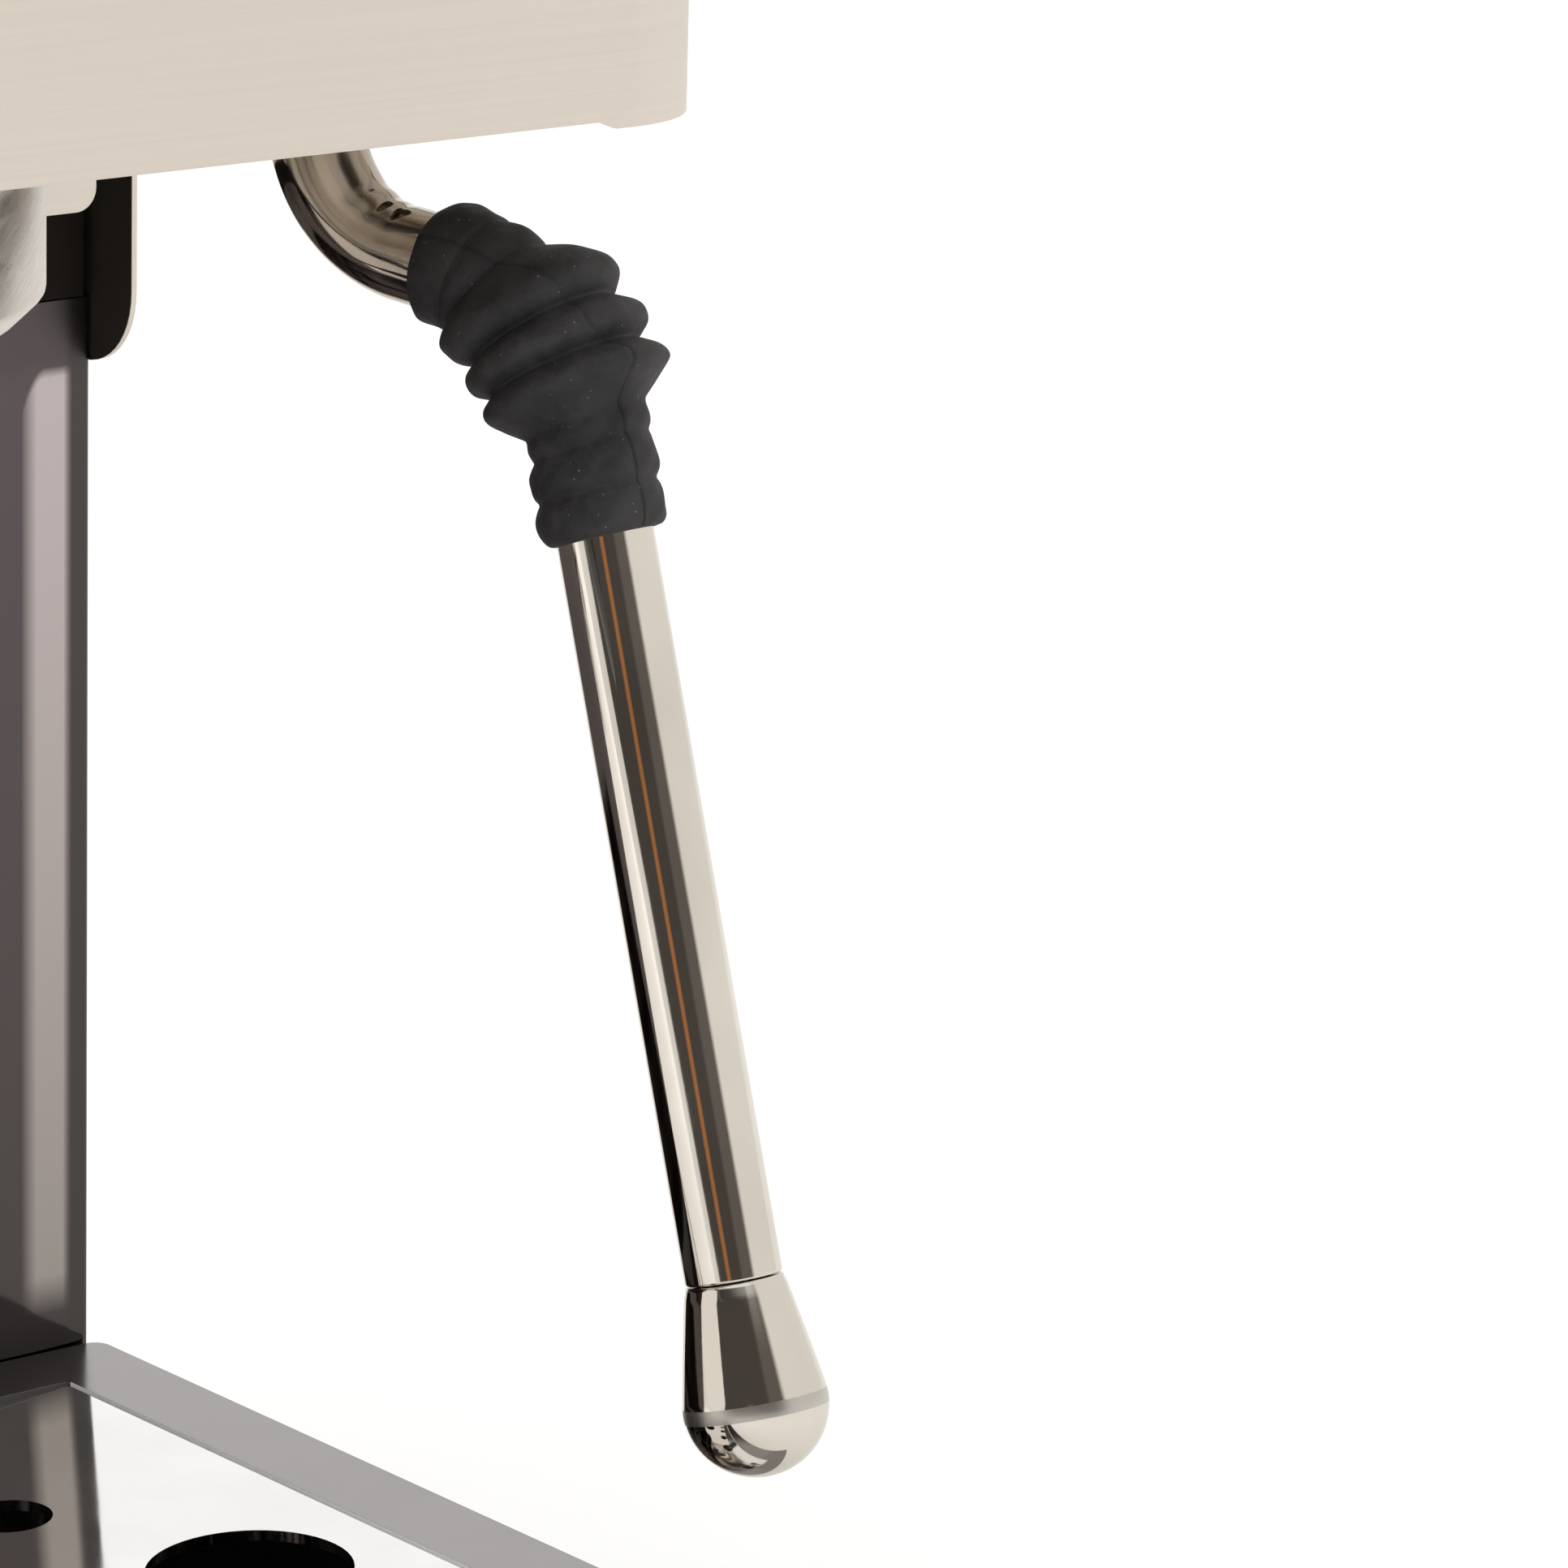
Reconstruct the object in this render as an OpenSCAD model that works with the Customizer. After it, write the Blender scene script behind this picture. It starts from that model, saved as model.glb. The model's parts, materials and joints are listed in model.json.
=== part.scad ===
// Espresso machine with a drip tray, an overhanging housing, a group and a steam wand.
// +Z is up, -Y is the front, and the origin is on the worktop under the middle of the whole
// footprint, with the portafilter's handle at its rest angle.

/* [Body] */
// Width of the upper housing
body_w = 198; // [196:1:202]
// Depth from the tray's front to the power inlet's face
body_d = 310; // [308:1:314]
// Height of the drip tray's rim above the worktop
rim_z = 62; // [61:1:64]
// Clear height from the tray's rim to the upper housing
cup_gap = 160; // [158:1:164]
// Height of the upper housing
housing_h = 123; // [122:1:126]
// Distance that the drip tray stands in front of the upper housing
tray_nose = 45; // [43:1:46]
// Reach of the upper housing in front of the column
reach = 112; // [112:0.2:114]
// Outside radius of the housing's two front corners
corner_r = 14; // [12:1:15]

/* [Group] */
// Outside radius of the group's collar
collar_r = 40.3; // [40:0.1:41]
// Distance from the housing's front to the group's axis
group_in = 49.2; // [48.8:0.2:50]
// Angle that the portafilter's handle stands to the left of straight ahead
handle_rest = 40; // [36:1:42]
// Distance from the group's axis to the end of the handle
handle_reach = 145; // [138:1:145]

/* [Steam wand] */
// Radius of the steam pipe
pipe_r = 5; // [4.9:0.05:5.1]
// Heading of the wand, turned from straight ahead to the right
wand_heading = 19.5; // [15:0.5:22]
// Sideways lean of the plane that the pipe is bent in
wand_lean = 5; // [4:0.5:6]
// Radius of the pipe's bends
bend_r = 14.2; // [14:0.1:14.6]
// Angle of the upper bend
bend_out = 84; // [82:1:86]
// Angle of the lower bend, inside the rubber grip
bend_down = 66; // [64:1:68]
// Length of the straight pipe below the grip's bend
wand_run = 90.5; // [86:0.5:94]

/* [Drip plate] */
// Radius of the plate's large holes
big_hole_r = 11.2; // [10:0.1:11.6]
// Radius of the plate's small holes
small_hole_r = 4.8; // [3:0.1:5]
// Fall of each half of the plate towards its middle, in degrees
plate_fall = 2.5; // [1.5:0.5:2.5]

/* [Hidden] */
$fn = 64;
eps = 0.01;
inf = 500;

// Planes of the body
hw = body_w / 2;
grip_r = 15;
handle_nose = (handle_reach - grip_r) * cos(handle_rest) + grip_r - tray_nose - group_in;
y_front = (handle_nose - body_d) / 2;
y_rear = y_front + body_d;
face_y = y_front + tray_nose;
col_y = face_y + reach;
under_z = rim_z + cup_gap;
roof_z = under_z + housing_h;
sheet = 0.8;
plate_t = 1;
gap = 0.2;
foot_h = 12;
floor_t = 2;
floor_z = foot_h + floor_t;

// Inside face of the outer skins
skin_in = hw - sheet;
lower_hw = hw - sheet - gap;
frame_hw = hw - 4;
frame_t = 1.5;
rear_y = y_rear - 1.8;

// Drip tray
rim_w = 11;
tray_r = 2;
mouth_r = 0.5;
rim_t = 1.2;
tray_back = col_y - 0.4;
mouth_hw = hw - rim_w;
mouth_front = y_front + 12;
mouth_back = tray_back - 10;
ledge_z = rim_z - 3.5;
basin_hw = mouth_hw - 4;
basin_z = 17.6;
rail_t = 1.5;
rail_hw = hw - 2;
plate_gap = 0.15;
plate_hw = mouth_hw - plate_gap;
plate_top = rim_z - 0.3;
plate_drop = plate_hw * tan(plate_fall);
hole_y = face_y + 42.4;
row_gap = 32.4;
small_gap = 29.6;

// Column and the parts above it
column_top = under_z - 37.6;
fold_r = 1.2;
ear_z = under_z - 45;
ear_y = face_y + 104.8;
flap_z = under_z - 25;
flap_y = face_y + 100;
flap_hw = 89.5;
pan_z = under_z + 2;

// Group and portafilter
gy = face_y + group_in;
collar_z = under_z - 18.6;
head_r = collar_r - 3.9;
bore_r = 33.6;
lip_r = 31.8;
seal_z = under_z - 6;
cup_r = 31.2;
rim_top = seal_z - 1.4;
lug_z = collar_z + 4.9;
boiler_y = gy + 5;
boiler_z = under_z + 18.2;
boiler_r = 36;

// Steam wand
ball = [78, face_y + 41.7, under_z + 8];
ball_r = 10;
drop_in = 11.3;
bend_gap = 10;
start_tilt = -2;
weld = 0.02;
tip_r = pipe_r * 1.49;
tip_neck = 12.8;
knob_x = 70;
knob_z = under_z + 68;

// Controls on the housing's front
gauge = [-62, face_y, under_z + 68];
gauge_r = 21;
needle_rest = 40;
panel_mid = under_z + 93;
button_x = 10;
button_z = under_z + 70;
switch_x = [-22, 0, 22];
switch_z = under_z + 36;
rocker_tilt = 7;

// Water tank and its lid
tank_hw = 72;
tank_y1 = y_rear - 9;
tank_y0 = tank_y1 - 62;
tank_z0 = 60;
tank_wall = 2.4;
lid_z = roof_z + 1.2;
hinge_y = tank_y1 - 3;
hinge_z = roof_z - 4;
pin_r = 1.5;

// An outline that is mirrored in X, with its own radii in front and behind.
module outline(half, y0, y1, r_front, r_back) {
  front = max(r_front, eps);
  back = max(r_back, eps);
  translate([-half, y0 + front]) square([2 * half, y1 - back - y0 - front]);
  translate([-half + front, y0]) square([2 * (half - front), front + eps]);
  translate([-half + back, y1 - back - eps]) square([2 * (half - back), back + eps]);
  for (s = [-1, 1]) {
    if (r_front > 0) translate([s * (half - front), y0 + front]) circle(front);
    if (r_back > 0) translate([s * (half - back), y1 - back]) circle(back);
  }
}

// A slab with the outline above, from z0 to z1.
module slab(half, y0, y1, r_front, r_back, z0, z1) {
  translate([0, 0, z0]) linear_extrude(z1 - z0) outline(half, y0, y1, r_front, r_back);
}

// A box given by two opposite corners.
module box(low, high) {
  translate(low) cube(high - low);
}

// A cylinder along +Y from y0 to y1.
module rod_y(x, z, r, y0, y1) {
  translate([x, y0, z]) rotate([-90, 0, 0]) cylinder(h = y1 - y0, r = r);
}

// A cylinder along +X from x0 to x1.
module rod_x(y, z, r, x0, x1) {
  translate([x0, y, z]) rotate([0, 90, 0]) cylinder(h = x1 - x0, r = r);
}

// A slot with round ends through a panel that faces Y.
module slot_y(x, z, length, r) {
  for (s = [-1, 1]) rod_y(x + s * (length / 2 - r), z, r, -inf, inf);
  box([x - length / 2 + r, -inf, z - r], [x + length / 2 - r, inf, z + r]);
}

function unit(v) = v / norm(v);
function lag(p, i) = unit(p[min(i + 1, len(p) - 1)] - p[max(i - 1, 0)]);
function side_of(t) = unit(cross(t, abs(t[2]) > 0.9 ? [1, 0, 0] : [0, 0, 1]));

// Points of a smooth path through the given ones.
function bezier(a, b, c, t) = (1 - t) * (1 - t) * a + 2 * t * (1 - t) * b + t * t * c;
function smooth(p, n) = [
  p[0],
  for (i = [1 : len(p) - 2], k = [0 : n])
    bezier((p[i - 1] + p[i]) / 2, p[i], (p[i] + p[i + 1]) / 2, k / n),
  p[len(p) - 1]
];

// A tube swept along a path, with eight sides.
module tube(path, r) {
  sides = 8;
  last = len(path) - 1;
  points = [
    for (i = [0 : last]) let (t = lag(path, i), u = side_of(t), v = cross(t, u))
      for (k = [0 : sides - 1])
        path[i] + r * (cos(360 * k / sides) * u + sin(360 * k / sides) * v)
  ];
  walls = [
    for (i = [0 : last - 1], k = [0 : sides - 1])
      let (a = i * sides, b = a + sides, n = (k + 1) % sides) [a + k, a + n, b + n, b + k]
  ];
  start = [[for (k = [sides - 1 : -1 : 0]) k]];
  end = [[for (k = [0 : sides - 1]) last * sides + k]];
  polyhedron(points, concat(start, walls, end));
}

// Folded steel floor with the two rails that the drip tray slides on.
module base_frame() {
  color("gray") {
    slab(rail_hw, mouth_front, rear_y, 3, 3, foot_h, floor_z);
    for (s = [-1, 1]) scale([s, 1, 1])
      box([rail_hw - rail_t, mouth_front + 3, floor_z], [rail_hw, col_y - 2.4, rim_z - 3]);
    box([8 - frame_hw, col_y + 1.2, floor_z], [frame_hw - 8, col_y + 2.7, rim_z - 12]);
  }
}

// Four rubber feet.
module feet() {
  foot_r = 11;
  color("dimgray")
    for (x = [-1, 1], y = [y_front + 35, y_rear - 25]) translate([x * (hw - 21), y, 0])
      rotate_extrude()
        polygon([[0, 0], [foot_r - 2, 0], [foot_r - 1, 1], [foot_r + 1, foot_h], [0, foot_h]]);
}

// Pressed steel basin whose flat rim lies over the rails.
module drip_tray() {
  color("silver") difference() {
    union() {
      slab(hw, y_front, tray_back, tray_r, tray_r, rim_z - rim_t, rim_z);
      slab(mouth_hw + 1.2, mouth_front - 1.2, mouth_back + 1.2, 4, 4, ledge_z - 1.2, rim_z - 1);
      slab(basin_hw + 1.2, mouth_front - 1.2, mouth_back + 1.2, 4, 4, basin_z, ledge_z);
      for (s = [-1, 1]) scale([s, 1, 1])
        box([hw - 1, mouth_front, rim_z - 8], [hw, tray_back - 6, rim_z - 1]);
    }
    slab(mouth_hw, mouth_front, mouth_back, mouth_r, mouth_r, ledge_z, rim_z + 1);
    slab(basin_hw, mouth_front, mouth_back, 3, 3, basin_z + 1.2, rim_z);
  }
}

// Front skin of the drip tray, with a slot for the fingers.
module tray_front() {
  color("silver") difference() {
    slab(hw, y_front, mouth_front, tray_r, 0, floor_z + 0.6, rim_z - rim_t);
    slab(hw - 1, y_front + 1.2, mouth_front + 1, tray_r - 1, 0, 0, rim_z);
    slot_y(0, rim_z - 16, 64, 6);
  }
}

// Cup plate of the tray, folded along its middle, with holes of two sizes.
module drip_plate() {
  thick = 1.2;
  color("gainsboro") difference() {
    union() {
      translate([0, mouth_back - plate_gap, 0]) rotate([90, 0, 0])
        linear_extrude(mouth_back - mouth_front - 2 * plate_gap)
          polygon([
            [-plate_hw, plate_top], [0, plate_top - plate_drop], [plate_hw, plate_top],
            [plate_hw, plate_top - thick], [0, plate_top - plate_drop - thick],
            [-plate_hw, plate_top - thick]
          ]);
      for (s = [-1, 1]) scale([s, 1, 1])
        box([plate_hw - 1, mouth_front + 2, ledge_z], [plate_hw, mouth_back - 2, plate_top - 1]);
    }
    for (i = [-2 : 2]) drain(i * 35.2, hole_y, big_hole_r);
    for (i = [-1.5 : 1.5]) drain(i * 35.2, hole_y - row_gap, big_hole_r);
    for (i = [-3 : 3], y = [hole_y + small_gap, hole_y - row_gap - small_gap])
      drain(i * 19.87, y, small_hole_r);
  }
}

// One round hole down through the drip plate.
module drain(x, y, r) {
  translate([x, y, 0]) cylinder(h = rim_z + 5, r = r);
}

// Polished front of the column, with its edges turned back.
module column_panel() {
  color("darkgray") difference() {
    slab(hw - sheet, col_y, col_y + 14.6, fold_r, 0, floor_z, column_top);
    slab(hw - sheet - 1, col_y + 1, col_y + 20, fold_r - 1, 0, 0, inf);
  }
}

// One lower side panel, with a return at the back and cooling slots.
module lower_side() {
  color("lightgray") difference() {
    union() {
      box([lower_hw - sheet, col_y + 14.8, foot_h], [lower_hw, rear_y - 0.4, under_z - 8]);
      box([lower_hw - 8, rear_y - 0.4 - sheet, floor_z + 1],
          [lower_hw, rear_y - 0.4, under_z - 8]);
    }
    for (i = [0 : 5])
      box([lower_hw - 4, rear_y - 100, 36 + i * 9], [lower_hw + 4, rear_y - 50, 40 + i * 9]);
  }
}

module lower_side_left() {
  mirror([1, 0, 0]) lower_side();
}

module lower_side_right() {
  lower_side();
}

// Rear panel with cooling slots and the opening for the power inlet.
module rear_panel() {
  color("lightgray") difference() {
    box([-lower_hw, rear_y, floor_z], [lower_hw, rear_y + plate_t, roof_z]);
    box([-70.2, 0, 27.8], [-41.8, inf, 50.2]);
    for (i = [0 : 7]) slot_y(0, roof_z - 40 - i * 9, 90, 2);
  }
}

// Outer skin of the upper housing: the front and both sides in one bent sheet.
module housing_shell() {
  skirt = 0.8;
  slope = 1;
  notch_x = hw - 18.2;
  color("silver") difference() {
    union() {
      difference() {
        slab(hw, face_y, rear_y, corner_r, 0, under_z - skirt, roof_z);
        slab(skin_in, face_y + sheet, rear_y + 1, corner_r - sheet, 0, 0, inf);
      }
      box([-notch_x, face_y + sheet / 2, under_z], [notch_x, face_y + 8, under_z + sheet]);
      for (s = [-1, 1]) scale([s, 1, 1]) ear();
    }
    translate([0, face_y + 5, 0]) rotate([90, 0, 0]) linear_extrude(10)
      polygon([
        [-notch_x - 2 * slope, 0], [notch_x + 2 * slope, 0], [notch_x + 2 * slope, under_z - skirt],
        [notch_x, under_z], [-notch_x, under_z], [-notch_x - 2 * slope, under_z - skirt]
      ]);
    rod_y(gauge[0], gauge[2], gauge_r + 1.4, -inf, col_y);
    box([-23.6, -inf, panel_mid - 9.6], [23.6, col_y, panel_mid + 9.6]);
    for (s = [-1, 1]) rod_y(s * button_x, button_z, 4.7, -inf, col_y);
    for (x = switch_x)
      box([x - 7.8, -inf, switch_z - 12.2], [x + 7.8, col_y, switch_z + 12.2]);
    rod_y(knob_x, knob_z, 6, -inf, col_y);
  }
}

// Lower part of the housing's side, with a round front corner.
module ear() {
  r = 9;
  long = rear_y - ear_y;
  translate([skin_in, ear_y, ear_z]) rotate([90, 0, 90]) linear_extrude(sheet) {
    translate([0, r]) square([long, under_z + 6 - ear_z - r]);
    translate([r, 0]) square([long - r, r + eps]);
    translate([r, r]) circle(r);
  }
}

// Sheet that closes the housing from below, with a flap that hangs in front of the column.
module underside_pan() {
  r = 2.6;
  color("lightgray") difference() {
    union() {
      slab(skin_in - gap, face_y + 1.2, flap_y, corner_r - 1.4, 0, pan_z, pan_z + plate_t);
      translate([0, flap_y, 0]) rotate([90, 0, 0]) linear_extrude(plate_t) {
        translate([-flap_hw, flap_z + r]) square([2 * flap_hw, pan_z - flap_z - r + eps]);
        translate([-flap_hw + r, flap_z]) square([2 * (flap_hw - r), r + eps]);
        for (s = [-1, 1]) translate([s * (flap_hw - r), flap_z + r]) circle(r);
      }
    }
    translate([0, gy, pan_z - 1]) cylinder(h = 4, r = head_r + 0.2);
    translate([ball[0], ball[1], pan_z - 1]) cylinder(h = 4, r = ball_r + 5.3);
  }
}

// Black cover strip between the column and the housing.
module fascia() {
  color("black") box([-lower_hw + 1.2, col_y, column_top + 0.2],
                     [lower_hw - 1.2, col_y + 1.6, pan_z + plate_t - gap]);
}

// Inner frame: two side plates with windows, tied by three bars.
module chassis_frame() {
  arm_y = face_y + 12;
  back = col_y + 3.4;
  color("gray") {
    for (s = [-1, 1]) scale([s, 1, 1]) difference() {
      union() {
        box([frame_hw - frame_t, back, floor_z], [frame_hw, rear_y - 4, roof_z - 2]);
        box([frame_hw - frame_t, arm_y, pan_z + plate_t], [frame_hw, back + 1, roof_z - 2]);
      }
      box([0, back + 20, 40], [inf, rear_y - 22, 190]);
      box([0, back + 20, 215], [inf, rear_y - 22, roof_z - 22]);
      box([0, arm_y + 18, pan_z + 18], [inf, back - 6, roof_z - 22]);
    }
    box([-frame_hw + eps, arm_y, roof_z - 15], [frame_hw - eps, arm_y + 5, roof_z - 7]);
    box([-frame_hw + eps, back, pan_z + 17], [frame_hw - eps, back + 3, pan_z + 27]);
    box([-frame_hw + eps, rear_y - 9, 15], [frame_hw - eps, rear_y - 4, 26]);
  }
}

// Cup warmer on top: a shallow pan with drain slots, open over the water tank.
module top_tray() {
  rim = 11;
  well_back = tank_y0 - 12;
  color("silver") difference() {
    union() {
      slab(hw, face_y, rear_y + 1, corner_r, 1, roof_z, roof_z + 1);
      slab(hw - rim + 1, face_y + rim, well_back + 1, 7, 7, roof_z - 4.2, roof_z + 0.5);
    }
    slab(hw - rim, face_y + rim + 1, well_back, 6, 6, roof_z - 3, inf);
    slab(tank_hw + 4, tank_y0 - 3, tank_y1 + 6, 4, 4, 0, inf);
    for (i = [-3 : 3], j = [0 : 4])
      translate([i * 22, face_y + 34 + j * 31, 0]) {
        translate([-1.6, -9, roof_z - 6]) cube([3.2, 18, 5]);
        for (s = [-1, 1]) translate([0, s * 9, roof_z - 6]) cylinder(h = 5, r = 1.6, $fn = 24);
      }
  }
}

// Guard rail around the cup warmer, bent from one round bar, with its posts.
module cup_rail() {
  r = 3;
  x = hw - 8;
  y0 = face_y + 8;
  y1 = tank_y0 - 10;
  z = roof_z + 27;
  turn = 14;
  color("silver") {
    rod_x(y0, z, r, -x + turn, x - turn);
    for (s = [-1, 1]) scale([s, 1, 1]) {
      rod_y(x, z, r, y0 + turn, y1 - turn);
      translate([x - turn, y0 + turn, z]) rotate([0, 0, -90]) ring_arc(turn, r);
      translate([x, y1 - turn, z - turn]) rotate([90, 0, 90]) ring_arc(turn, r);
      for (p = [[x, y1], [x, (y0 + y1) / 2], [x * 0.45, y0]])
        post(p, p[1] == y1 ? z - turn : z, r);
    }
  }
}

// A quarter of a round-bar ring, from +X to +Y.
module ring_arc(turn, r) {
  rotate_extrude(angle = 90) translate([turn, 0]) circle(r);
}

// One post of the guard rail, with a collar on the tray.
module post(p, top, r) {
  translate([p[0], p[1], roof_z + 1]) {
    cylinder(h = top - roof_z - 1, r = r - 0.02);
    cylinder(h = 3, r = r + 2);
  }
}

// Steel shelf and rubber seat that the tank stands on.
module tank_shelf() {
  color("gray") {
    difference() {
      union() {
        box([-frame_hw + 2, tank_y0 - 4, 50], [frame_hw - 2, tank_y1 - 2, 52]);
        for (s = [-1, 1]) scale([s, 1, 1])
          box([frame_hw - 3.5, tank_y0 - 4, floor_z], [frame_hw - 2, tank_y1 - 2, 51]);
        translate([0, tank_y0 + 31, 51]) cylinder(h = 8.8, r = 14);
      }
      translate([0, tank_y0 + 31, 40]) cylinder(h = 30, r = 8.4);
    }
    for (x = [-60, 60], y = [tank_y0 + 10, tank_y1 - 12])
      translate([x, y, 52]) cylinder(h = tank_z0 - 52, r = 5);
  }
}

// Clear water tank, open at the top, with an outlet boss and the two hinge lugs.
module water_tank() {
  color("lightblue", 0.4) difference() {
    union() {
      slab(tank_hw, tank_y0, tank_y1, 8, 8, tank_z0, lid_z - 0.2);
      translate([0, tank_y0 + 31, tank_z0 - 6]) cylinder(h = 7, r = 8);
      for (s = [-1, 1]) scale([s, 1, 1])
        box([51, tank_y1 - 6.4, hinge_z - 14], [56, tank_y1, lid_z - 0.4]);
    }
    difference() {
      slab(tank_hw - tank_wall, tank_y0 + tank_wall, tank_y1 - tank_wall, 6, 6,
           tank_z0 + 3, inf);
      for (s = [-1, 1]) scale([s, 1, 1])
        box([51, tank_y1 - 6.4, hinge_z - 14], [56, tank_y1, lid_z]);
    }
    box([-51, tank_y1 - 9, hinge_z - 6], [51, tank_y1 + 1, inf]);
    box([-inf, tank_y1 - 9, hinge_z + 3.5], [inf, tank_y1 + 1, inf]);
    translate([0, tank_y0 + 31, tank_z0 - 7]) cylinder(h = 12, r = 4);
    rod_x(hinge_y, hinge_z, pin_r, -inf, inf);
  }
}

// Lid over the tank, with its hinge barrel.
module tank_lid() {
  color("silver") difference() {
    union() {
      slab(tank_hw + 2, tank_y0 - 1, tank_y1, 6, 2, lid_z, lid_z + 2.5);
      rod_x(hinge_y, hinge_z, 3.2, -50.5, 50.5);
      box([-50.5, hinge_y - 1.5, hinge_z + 2], [50.5, hinge_y + 1.5, lid_z + 1]);
    }
    rod_x(hinge_y, hinge_z, pin_r + 0.05, -inf, inf);
  }
}

module lid_pin() {
  color("silver") rod_x(hinge_y, hinge_z, pin_r, -56, 56);
}

// Turned steel collar around the group, with a bevelled lower edge.
module group_collar() {
  bevel = 2.8;
  color("silver") translate([0, gy, 0]) rotate_extrude($fn = 96)
    polygon([
      [head_r + 0.2, collar_z], [collar_r - bevel, collar_z], [collar_r, collar_z + bevel],
      [collar_r, pan_z], [head_r + 0.2, pan_z]
    ]);
}

// Brass group body, with the lip that the portafilter's lugs lock over.
module group_head() {
  flange_r = 48;
  color("goldenrod") translate([0, gy, 0]) difference() {
    union() {
      translate([0, 0, collar_z + 0.4]) cylinder(h = pan_z + 2 - collar_z, r = head_r);
      translate([0, 0, pan_z + plate_t]) cylinder(h = 6, r = flange_r);
      translate([0, 5, pan_z + 6]) cylinder(h = boiler_z - pan_z - 6, r = 26);
    }
    translate([0, 0, collar_z - 1]) cylinder(h = 20, r = lip_r);
    translate([0, 0, lug_z - 0.4]) cylinder(h = under_z - lug_z + 0.4, r = bore_r);
    for (s = [0, 180]) rotate([0, 0, s - handle_rest - 20]) translate([0, 0, collar_z - 1])
      rotate_extrude(angle = 40) square([bore_r - 0.3, 8]);
    translate([0, 0, under_z - 1]) cylinder(h = 30, r = 2.5);
  }
}

// Rubber seal that the portafilter presses on.
module group_gasket() {
  color("black") translate([0, gy, seal_z]) difference() {
    cylinder(h = 6, r = bore_r - 0.2);
    translate([0, 0, -1]) cylinder(h = 8, r = 26.4);
  }
}

// Perforated screen that spreads the water.
module shower_screen() {
  color("silver") translate([0, gy, rim_top + 0.2]) difference() {
    cylinder(h = 4, r = 26);
    translate([0, 0, 0.8]) cylinder(h = 4, r = 25.2);
    cylinder(h = 9, r = 2.6, center = true);
    for (ring = [1 : 3], i = [0 : 6 * ring - 1]) rotate([0, 0, i * 60 / ring])
      translate([7 * ring, 0, -1]) cylinder(h = 3, r = 0.9, $fn = 16);
  }
}

module screen_screw() {
  color("silver") translate([0, gy, rim_top - 1]) {
    cylinder(h = 1.2, r = 4.4);
    cylinder(h = under_z - rim_top + 1, r = 2.5);
  }
}

// The portafilter's frame: the group's axis, with the handle turned to its rest angle.
module handle_frame() {
  translate([0, gy, 0]) rotate([0, 0, -handle_rest]) children();
}

// Brass bowl with two lugs and the neck for the handle.
module portafilter() {
  base_z = collar_z - 31;
  color("silver") handle_frame() difference() {
    union() {
      rotate_extrude()
        polygon([
          [0, base_z], [9, base_z], [26, base_z + 4], [cup_r, base_z + 10], [cup_r, rim_top],
          [0, rim_top]
        ]);
      for (s = [0, 180]) rotate([0, 0, s - 15]) translate([0, 0, lug_z])
        rotate_extrude(angle = 30) translate([cup_r - 2, 0]) square([4, 4.6]);
      translate([0, 0, neck_z]) rotate([90, 0, 0]) cylinder(h = 54, r = 6);
      translate([0, -46, neck_z]) rotate([90, 0, 0]) cylinder(h = 5, r = 10);
    }
    translate([0, 0, base_z + 13]) cylinder(h = inf, r = 28.9);
    translate([0, 0, base_z - 1]) cylinder(h = 20, r = 4);
  }
}
neck_z = collar_z - 13;

// Sheet-metal basket that holds the coffee.
module filter_basket() {
  color("gainsboro") handle_frame() difference() {
    union() {
      translate([0, 0, rim_top - 21]) cylinder(h = 21.8, r = 28.5);
      translate([0, 0, rim_top]) cylinder(h = 0.8, r = 30.6);
    }
    translate([0, 0, rim_top - 20.4]) cylinder(h = 30, r = 27.9);
  }
}

// Black grip, turned like a tool handle.
module portafilter_handle() {
  start = 51.2;
  length = handle_reach - start;
  color("black") handle_frame() translate([0, -start, neck_z]) rotate([90, 0, 0]) difference() {
    rotate_extrude() {
      polygon([
        [0, 0], [10.5, 0], [12, 1.5], [12, 6], [10.6, 12], [11, 22], [13.6, 42],
        [grip_r, length - grip_r - 8], [grip_r, length - grip_r], [0, length - grip_r]
      ]);
      translate([0, length - grip_r]) intersection() {
        circle(grip_r);
        square(grip_r);
      }
    }
    translate([0, 0, -1]) cylinder(h = 54 - start + 1.2, r = 6.2);
  }
}

// Double spout under the bowl.
module spout() {
  top = collar_z - 31;
  color("silver") handle_frame() difference() {
    union() {
      translate([0, 0, top - 10]) cylinder(h = 10, r = 8);
      translate([0, 0, top - 12]) rotate([0, 90, 0]) cylinder(h = 30, r = 6, center = true);
      for (s = [-1, 1]) translate([s * 15, 0, top - 12]) {
        sphere(6);
        translate([0, 0, -14]) cylinder(h = 14, r = 5.2);
      }
    }
    for (s = [-1, 1]) translate([s * 15, 0, top - 27]) cylinder(h = 15, r = 3.4);
    translate([0, 0, top - 12]) cylinder(h = 30, r = 3.4);
    translate([0, 0, top - 12]) rotate([0, 90, 0]) cylinder(h = 30, r = 3.4, center = true);
  }
}

// Union nut that holds the wand's ball.
module ball_nut() {
  r = ball_r + 5;
  color("silver") translate([ball[0], ball[1], 0]) rotate_extrude()
    polygon([
      [8.3, ball[2] - 12], [r - 1, ball[2] - 12], [r, ball[2] - 11], [r, ball[2] + 3],
      [ball_r + 0.6, ball[2] + 3], [ball_r + 0.6, ball[2] - 8.6], [8.3, ball[2] - 8.6]
    ]);
}

// Slippery ring that the ball turns in.
module ball_seat() {
  color("white") translate([ball[0], ball[1], ball[2] - 8.5]) difference() {
    cylinder(h = 3, r = ball_r + 0.4);
    translate([0, 0, -1]) cylinder(h = 5, r = 8.6);
  }
}

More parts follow.
